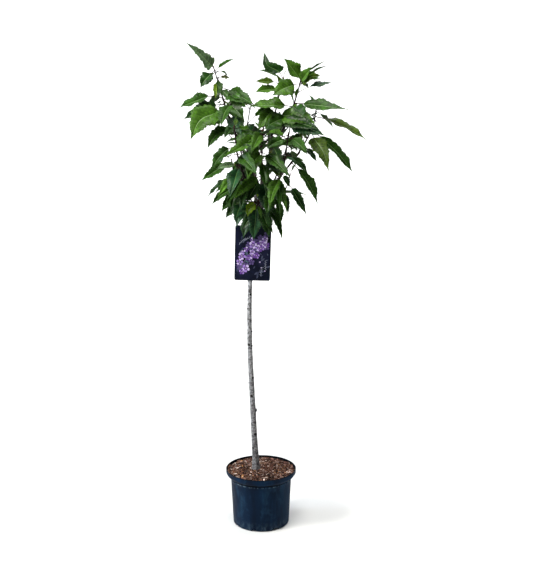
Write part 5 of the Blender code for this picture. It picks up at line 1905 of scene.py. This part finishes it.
def make_chips():
    """Bark chips and crumbs strewn over the bed, inside the rim and round the stem."""
    draw = random.Random(CHIP_SEED)
    weights = [weight for _, weight in CHIP_COLOURS]
    kinds = range(len(CHIP_COLOURS))
    stem = on_axis(TRUNK_FINE, MEDIUM_TOP + 0.004)
    chips = Gather()
    placed = 0
    while placed < CHIP_COUNT:
        x, y = strewn_place(draw, BED_RADIUS)
        length = draw.uniform(*CHIP_LENGTH) * draw.choice((0.55, 0.8, 1.0, 1.0))
        along = heading(draw.uniform(0, pi), radians(draw.uniform(-CHIP_TILT, CHIP_TILT)))
        layer = draw.random() ** 1.5
        middle = Vector((x, y, bed_height(x, y) + CHIP_LOWEST + CHIP_LAYERS * layer))
        ends = [middle + along * s * length / 2 for s in (-1.1, 1.1)]
        outside = max(hypot(e.x, e.y) for e in ends) > BED_RADIUS - CHIP_RIM_ROOM
        if outside or hypot(x - stem.x, y - stem.y) < CHIP_STEM_ROOM:
            continue
        roll = radians(draw.uniform(-CHIP_ROLL, CHIP_ROLL))
        up = Matrix.Rotation(roll, 3, along) @ across(UP, along)
        width = length * draw.uniform(*CHIP_WIDTH)
        thick = width * draw.uniform(*CHIP_THICKNESS)
        colour = draw.choices(kinds, weights)[0]
        chips.add(*chip_shape(draw, middle, along, up, length, width, thick), colour)
        placed += 1
    materials = [chip_material(f"chip_{i + 1}", colour) for i, (colour, _) in enumerate(CHIP_COLOURS)]
    obj = chips.piece("mulch_chips", materials, "bark_mulch", sharp=38)
    fix_normals(obj.data)

    fines = Gather()
    placed = 0
    while placed < FINE_COUNT:
        x, y = strewn_place(draw, BED_RADIUS - FINE_RIM_ROOM)
        if hypot(x - stem.x, y - stem.y) < FINE_STEM_ROOM:
            continue
        length = draw.uniform(*FINE_LENGTH)
        yaw = draw.uniform(0, pi)
        along = Vector((cos(yaw), sin(yaw), draw.uniform(-0.5, 0.5))).normalized()
        up = across(Vector((draw.uniform(-0.6, 0.6), draw.uniform(-0.6, 0.6), 1.0)), along)
        middle = Vector((x, y, bed_height(x, y) + FINE_LOWEST + FINE_LAYERS * draw.random()))
        colour = draw.choices(kinds, weights)[0]
        fines.add(*splinter(middle, along, up, length, length * draw.uniform(*FINE_WIDTH)), colour)
        placed += 1
    obj = fines.piece("mulch_fines", materials, "bark_mulch", sharp=38)
    fix_normals(obj.data)


def splinter(middle, along, up, length, width):
    """A crumb of bark: a four-sided spindle, half as thick as it is wide."""
    side = along.cross(up).normalized()
    reaches = (side * width / 2, up * width / 4, side * -width / 2, up * -width / 4)
    vertices = [middle - along * length / 2] + [middle + reach for reach in reaches]
    return vertices + [middle + along * length / 2], poled(1, 4)


# Plant label

LABEL_WIDTH = 0.121
LABEL_HEIGHT = 0.187
LABEL_THICKNESS = 0.0012
LABEL_CORNER = 0.006
LABEL_TOP = 1.056
LABEL_MIDDLE_X = -0.0235
LABEL_TILT = radians(1.6)
LABEL_NECK_WIDTH = 0.014
LABEL_NECK_HEIGHT = 0.021
LABEL_LOOP_HEIGHT = 0.01
LABEL_LOOP_Z = 1.068
LABEL_LOOP_SLACK = 0.0024
LABEL_LOOP_REST = 0.0008
LABEL_BOW = 0.0022
LOOP_SIDES = 48
CARD_GRID = 0.006
INK_DEPTH = 0.0002
INK_LIFT = 0.00012
DIM_LEAVES = 34
DIM_BLOSSOMS = 16
SPRIG_LEAVES = 12
BLOSSOMS = 19
LOOSE_PETALS = 9
# Outlines as shares ahead and beside
PETAL_SIDE = ((0.32, 0.17), (0.62, 0.33), (0.86, 0.34), (1.02, 0.2), (1.01, 0.07))
PETAL = ((0.1, 0.0), *PETAL_SIDE, (0.92, 0.0), *[(ahead, -beside) for ahead, beside in PETAL_SIDE[::-1]])
SPRIG_LEAF = ((0.0, 0.0), (0.25, 0.16), (0.5, 0.2), (0.75, 0.13), (1.0, 0.0),
              (0.75, -0.13), (0.5, -0.2), (0.25, -0.16))
# Where the small printed fronds start, and their lean in degrees
FROND_FEET = ((0.03, -0.172, 100), (0.047, -0.15, 112), (-0.046, -0.066, 62), (-0.03, -0.052, 40))
INKS = (("ink_lilac", (0.34, 0.2, 0.6)), ("ink_pale", (0.64, 0.52, 0.84)),
        ("ink_plum", (0.12, 0.04, 0.28)), ("ink_cream", (0.7, 0.62, 0.6)),
        ("ink_stem", (0.14, 0.13, 0.18)), ("ink_leaf", (0.06, 0.1, 0.14)),
        ("ink_dusk", (0.012, 0.018, 0.052)), ("ink_smoke", (0.036, 0.044, 0.086)),
        ("ink_dim", (0.08, 0.05, 0.18)), ("ink_line", (0.3, 0.32, 0.4)))


def label_place():
    """The label's middle line on the trunk: the loop's centre, radius and the card's depth."""
    middle = on_axis(TRUNK_AXIS, LABEL_LOOP_Z + LABEL_LOOP_HEIGHT / 2)
    inner = trunk_radius(middle.z) + LABEL_LOOP_SLACK
    loop_y = middle.y - LABEL_LOOP_SLACK + LABEL_LOOP_REST
    card_y = loop_y - inner - LABEL_THICKNESS / 2
    return middle, inner, loop_y, card_y


LOOP_MIDDLE, LOOP_INNER, LOOP_Y, CARD_Y = label_place()


def on_card(x, z, lift):
    """A point of the card's front, from its own middle top, x right and z up."""
    bow = LABEL_BOW * ((2 * x / LABEL_WIDTH) ** 2 - 0.35) * min(1.0, max(0.0, -z / 0.05))
    depth = -LABEL_THICKNESS / 2 - lift + bow
    c, s = cos(LABEL_TILT), sin(LABEL_TILT)
    return Vector((LABEL_MIDDLE_X + x * c + z * s, CARD_Y + depth, LABEL_TOP - x * s + z * c))


def card_lines(length, corner):
    """Grid lines along one side of the card, close together at its round corners."""
    ends = [corner * k / 4 for k in range(4)]
    count = max(2, round((length - 2 * corner) / CARD_GRID))
    middle = [corner + (length - 2 * corner) * k / count for k in range(count + 1)]
    return ends + middle + [length - e for e in reversed(ends)]


def rounded(x, z):
    """Draw a grid point near a corner in to the corner's arc."""
    half, corner = LABEL_WIDTH / 2, LABEL_CORNER
    centre_x = copysign(half - corner, x)
    centre_z = -corner if z > -LABEL_HEIGHT / 2 else -LABEL_HEIGHT + corner
    dx, dz = (x - centre_x) / corner, (z - centre_z) / corner
    outside = dx * copysign(1, x) > 0 and dz * (1 if z > -LABEL_HEIGHT / 2 else -1) > 0
    if not outside:
        return x, z
    return (centre_x + corner * dx * sqrt(1 - dz * dz / 2),
            centre_z + corner * dz * sqrt(1 - dx * dx / 2))


def make_card(ground, plain):
    """The card with its neck, thin and bowed, and the loop that holds it on the trunk."""
    xs = [x - LABEL_WIDTH / 2 for x in card_lines(LABEL_WIDTH, LABEL_CORNER)]
    zs = [-z for z in card_lines(LABEL_HEIGHT, LABEL_CORNER)]
    front = [on_card(*rounded(x, z), 0.0) for z in zs for x in xs]
    back = [p - FRONT * LABEL_THICKNESS for p in front]
    faces = [face[::-1] for face in plate_faces(len(zs), len(xs))]
    printed = (len(zs) - 1) * (len(xs) - 1)
    card = Gather()
    card.add(front + back, faces, [0] * printed + [1] * (len(faces) - printed))

    neck_x = LOOP_MIDDLE.x - LABEL_MIDDLE_X
    strip = []
    for k in range(9):
        z = -0.002 + (LABEL_NECK_HEIGHT + 0.002) * k / 8
        waist = LABEL_NECK_WIDTH / 2 * (1.0 - 0.16 * sin(pi * k / 8))
        for x, lift in ((-waist, 0.0), (waist, 0.0), (waist, LABEL_THICKNESS), (-waist, LABEL_THICKNESS)):
            strip.append(on_card(neck_x + x, z, -lift))
    card.add(strip, grid_faces(9, 4, True) + [(3, 2, 1, 0), (32, 33, 34, 35)], 1)

    outer, top = LOOP_INNER + LABEL_THICKNESS, LABEL_LOOP_HEIGHT
    ring = []
    for angle in turns(LOOP_SIDES):
        for radius, rise in ((LOOP_INNER, 0.0), (LOOP_INNER, top), (outer, top), (outer, 0.0)):
            x, y = LOOP_MIDDLE.x + radius * sin(angle), LOOP_Y - radius * cos(angle)
            ring.append((x, y, LABEL_LOOP_Z + rise))
    last = 4 * (LOOP_SIDES - 1)
    card.add(ring, grid_faces(LOOP_SIDES, 4, True)
             + [(last + k, last + (k + 1) % 4, (k + 1) % 4, k) for k in range(4)], 1)
    obj = card.piece("label_card", [ground, plain], "label_card", "plant_label", sharp=40)
    fix_normals(obj.data)


def add_inlay(ink, outline, centre, slot, lift=INK_LIFT):
    """A flat printed shape: its outline and centre on the card, as a thin closed solid."""
    count = len(outline)
    vertices = [on_card(x, z, height) for height in (lift, -INK_DEPTH) for x, z in [*outline, centre]]
    front, back = range(count), range(count + 1, 2 * count + 1)
    rim = [(j, k, count + 1 + k, count + 1 + j) for _, k, j in fan(count, front)]
    ink.add(vertices, fan(count, front) + fan(2 * count + 1, back, True) + rim, slot)


def step(x, z, length, angle):
    """The point of the card at a distance and in a direction from another."""
    return x + length * cos(angle), z + length * sin(angle)


def printed_outline(shape, x, z, size, angle):
    """A shape's points ahead of and beside a point of the card, for a size and a direction."""
    c, s = size * cos(angle), size * sin(angle)
    return [(x + ahead * c - beside * s, z + ahead * s + beside * c) for ahead, beside in shape]


def add_petal(ink, x, z, size, angle, slot, lift=INK_LIFT):
    """A notched petal that starts at a flower's centre."""
    add_inlay(ink, printed_outline(PETAL, x, z, size, angle), step(x, z, 0.55 * size, angle), slot, lift)


def add_blossom(ink, x, z, size, turn, slots, lift):
    """A generic five-petal rosette in two tones with a pale eye."""
    for k, angle in enumerate(turns(5)):
        add_petal(ink, x, z, size, turn + angle, slots[k % 2], lift + 0.00003 * (k % 2))
        add_petal(ink, x, z, 0.52 * size, turn + angle, 2, lift + 0.00008)
    add_inlay(ink, [step(x, z, 0.13 * size, angle) for angle in turns(10)], (x, z), 3, lift + 0.00014)


def add_sprig_leaf(ink, x, z, length, angle, slot):
    outline = printed_outline(SPRIG_LEAF, x, z, length, angle)
    add_inlay(ink, outline, step(x, z, 0.5 * length, angle), slot)


def sprig_point(s):
    """A point of the printed sprig: a loose arc from the lower left to the upper right."""
    return -0.044 + 0.09 * s, -0.15 + 0.098 * s + 0.02 * sin(pi * s)


def add_line(ink, points, width, slot, lift):
    """A printed line that thins to its end."""
    count = len(points) - 1
    for k in range(count):
        (xa, za), (xb, zb) = points[k], points[k + 1]
        length = hypot(xb - xa, zb - za)
        across_x, across_z = -(zb - za) / length, (xb - xa) / length
        a, b = (width * (1.0 - 0.7 * j / count) for j in (k, k + 1))
        quad = [(xa - across_x * a, za - across_z * a), (xb - across_x * b, zb - across_z * b),
                (xb + across_x * b, zb + across_z * b), (xa + across_x * a, za + across_z * a)]
        add_inlay(ink, quad, (sum(p[0] for p in quad) / 4, sum(p[1] for p in quad) / 4), slot, lift)


def make_print():
    """The card's print: dim blossoms behind a bowed sprig full of simple ones, and no words."""
    ink = Gather()
    draw = random.Random(PRINT_SEED)
    for _ in range(DIM_LEAVES):
        x, z = draw.uniform(-0.05, 0.05), draw.uniform(-0.176, -0.03)
        add_sprig_leaf(ink, x, z, draw.uniform(0.01, 0.02), draw.uniform(0, 2 * pi), draw.choice((6, 7)))
    for k in range(DIM_BLOSSOMS):
        x, z = sprig_point(draw.uniform(0.0, 1.0))
        x = max(-0.046, min(0.046, x + draw.uniform(-0.018, 0.018)))
        z += draw.uniform(-0.024, 0.024)
        for angle in turns(5):
            add_petal(ink, x, z, 0.0105, 0.7 * k + angle, 8, INK_LIFT + 0.00002)
    add_line(ink, [sprig_point(k / 18) for k in range(19)], 0.001, 4, INK_LIFT + 0.00004)
    for k in range(SPRIG_LEAVES):
        x, z = sprig_point(0.04 + 0.08 * k)
        angle = radians(50 + (58 if k % 2 else -70) + draw.uniform(-14, 14))
        add_sprig_leaf(ink, x, z, draw.uniform(0.014, 0.024), angle, 5)
    lift = INK_LIFT + 0.00006
    for number in range(BLOSSOMS):
        s = 0.03 + 0.95 * number / (BLOSSOMS - 1)
        x, z = sprig_point(s)
        off = draw.uniform(-1.0, 1.0) * 0.026 * sin(pi * (0.15 + 0.75 * s))
        x = max(-0.047, min(0.047, x - 0.55 * off))
        slots = draw.choice(((0, 1), (1, 0), (0, 2), (2, 1)))
        lift += 0.00001
        add_blossom(ink, x, z + off, draw.uniform(0.0062, 0.0135), draw.uniform(0, 1.2), slots, lift)
    for _ in range(LOOSE_PETALS):
        x, z, angle = draw.uniform(-0.048, 0.044), draw.uniform(-0.178, -0.048), draw.uniform(0, 6.28)
        add_petal(ink, x, z, 0.0055, angle, 1)
    for x, z, lean in FROND_FEET:
        angles = [radians(lean - 5 * k) for k in range(9)]
        course = [(x, z)]
        for angle in angles[:-1]:
            course.append(step(*course[-1], 0.004, angle))
        add_line(ink, course, 0.0005, 9, INK_LIFT + 0.00003)
        for k in range(1, 9):
            side = angles[k] + radians(48 if k % 2 else -48)
            add_line(ink, [course[k], step(*course[k], 0.0062, side)], 0.0005, 9, INK_LIFT + 0.00003)
    materials = [plain_material(name, colour, 0.34) for name, colour in INKS]
    ink.piece("label_print", materials, "label_card", sharp=30)


def main():
    make_camera()
    make_lights()
    make_world()
    make_backdrop()
    make_flags()
    masses, space = grow_crown()
    place_front_leaves(masses, space)
    for mass in masses:
        draw = random.Random(mass.shoot.seed + FINER_SEEDS)
        grow_tips(mass, space, draw)
        grow_spurs(mass, space, draw)
    make_leaves(masses)
    make_stems(masses)
    make_boughs(masses)
    make_trunk()
    make_pot()
    make_bed()
    make_chips()
    make_card(card_material(), plain_material("card_plain", (0.012, 0.012, 0.02), 0.35))
    make_print()


main()
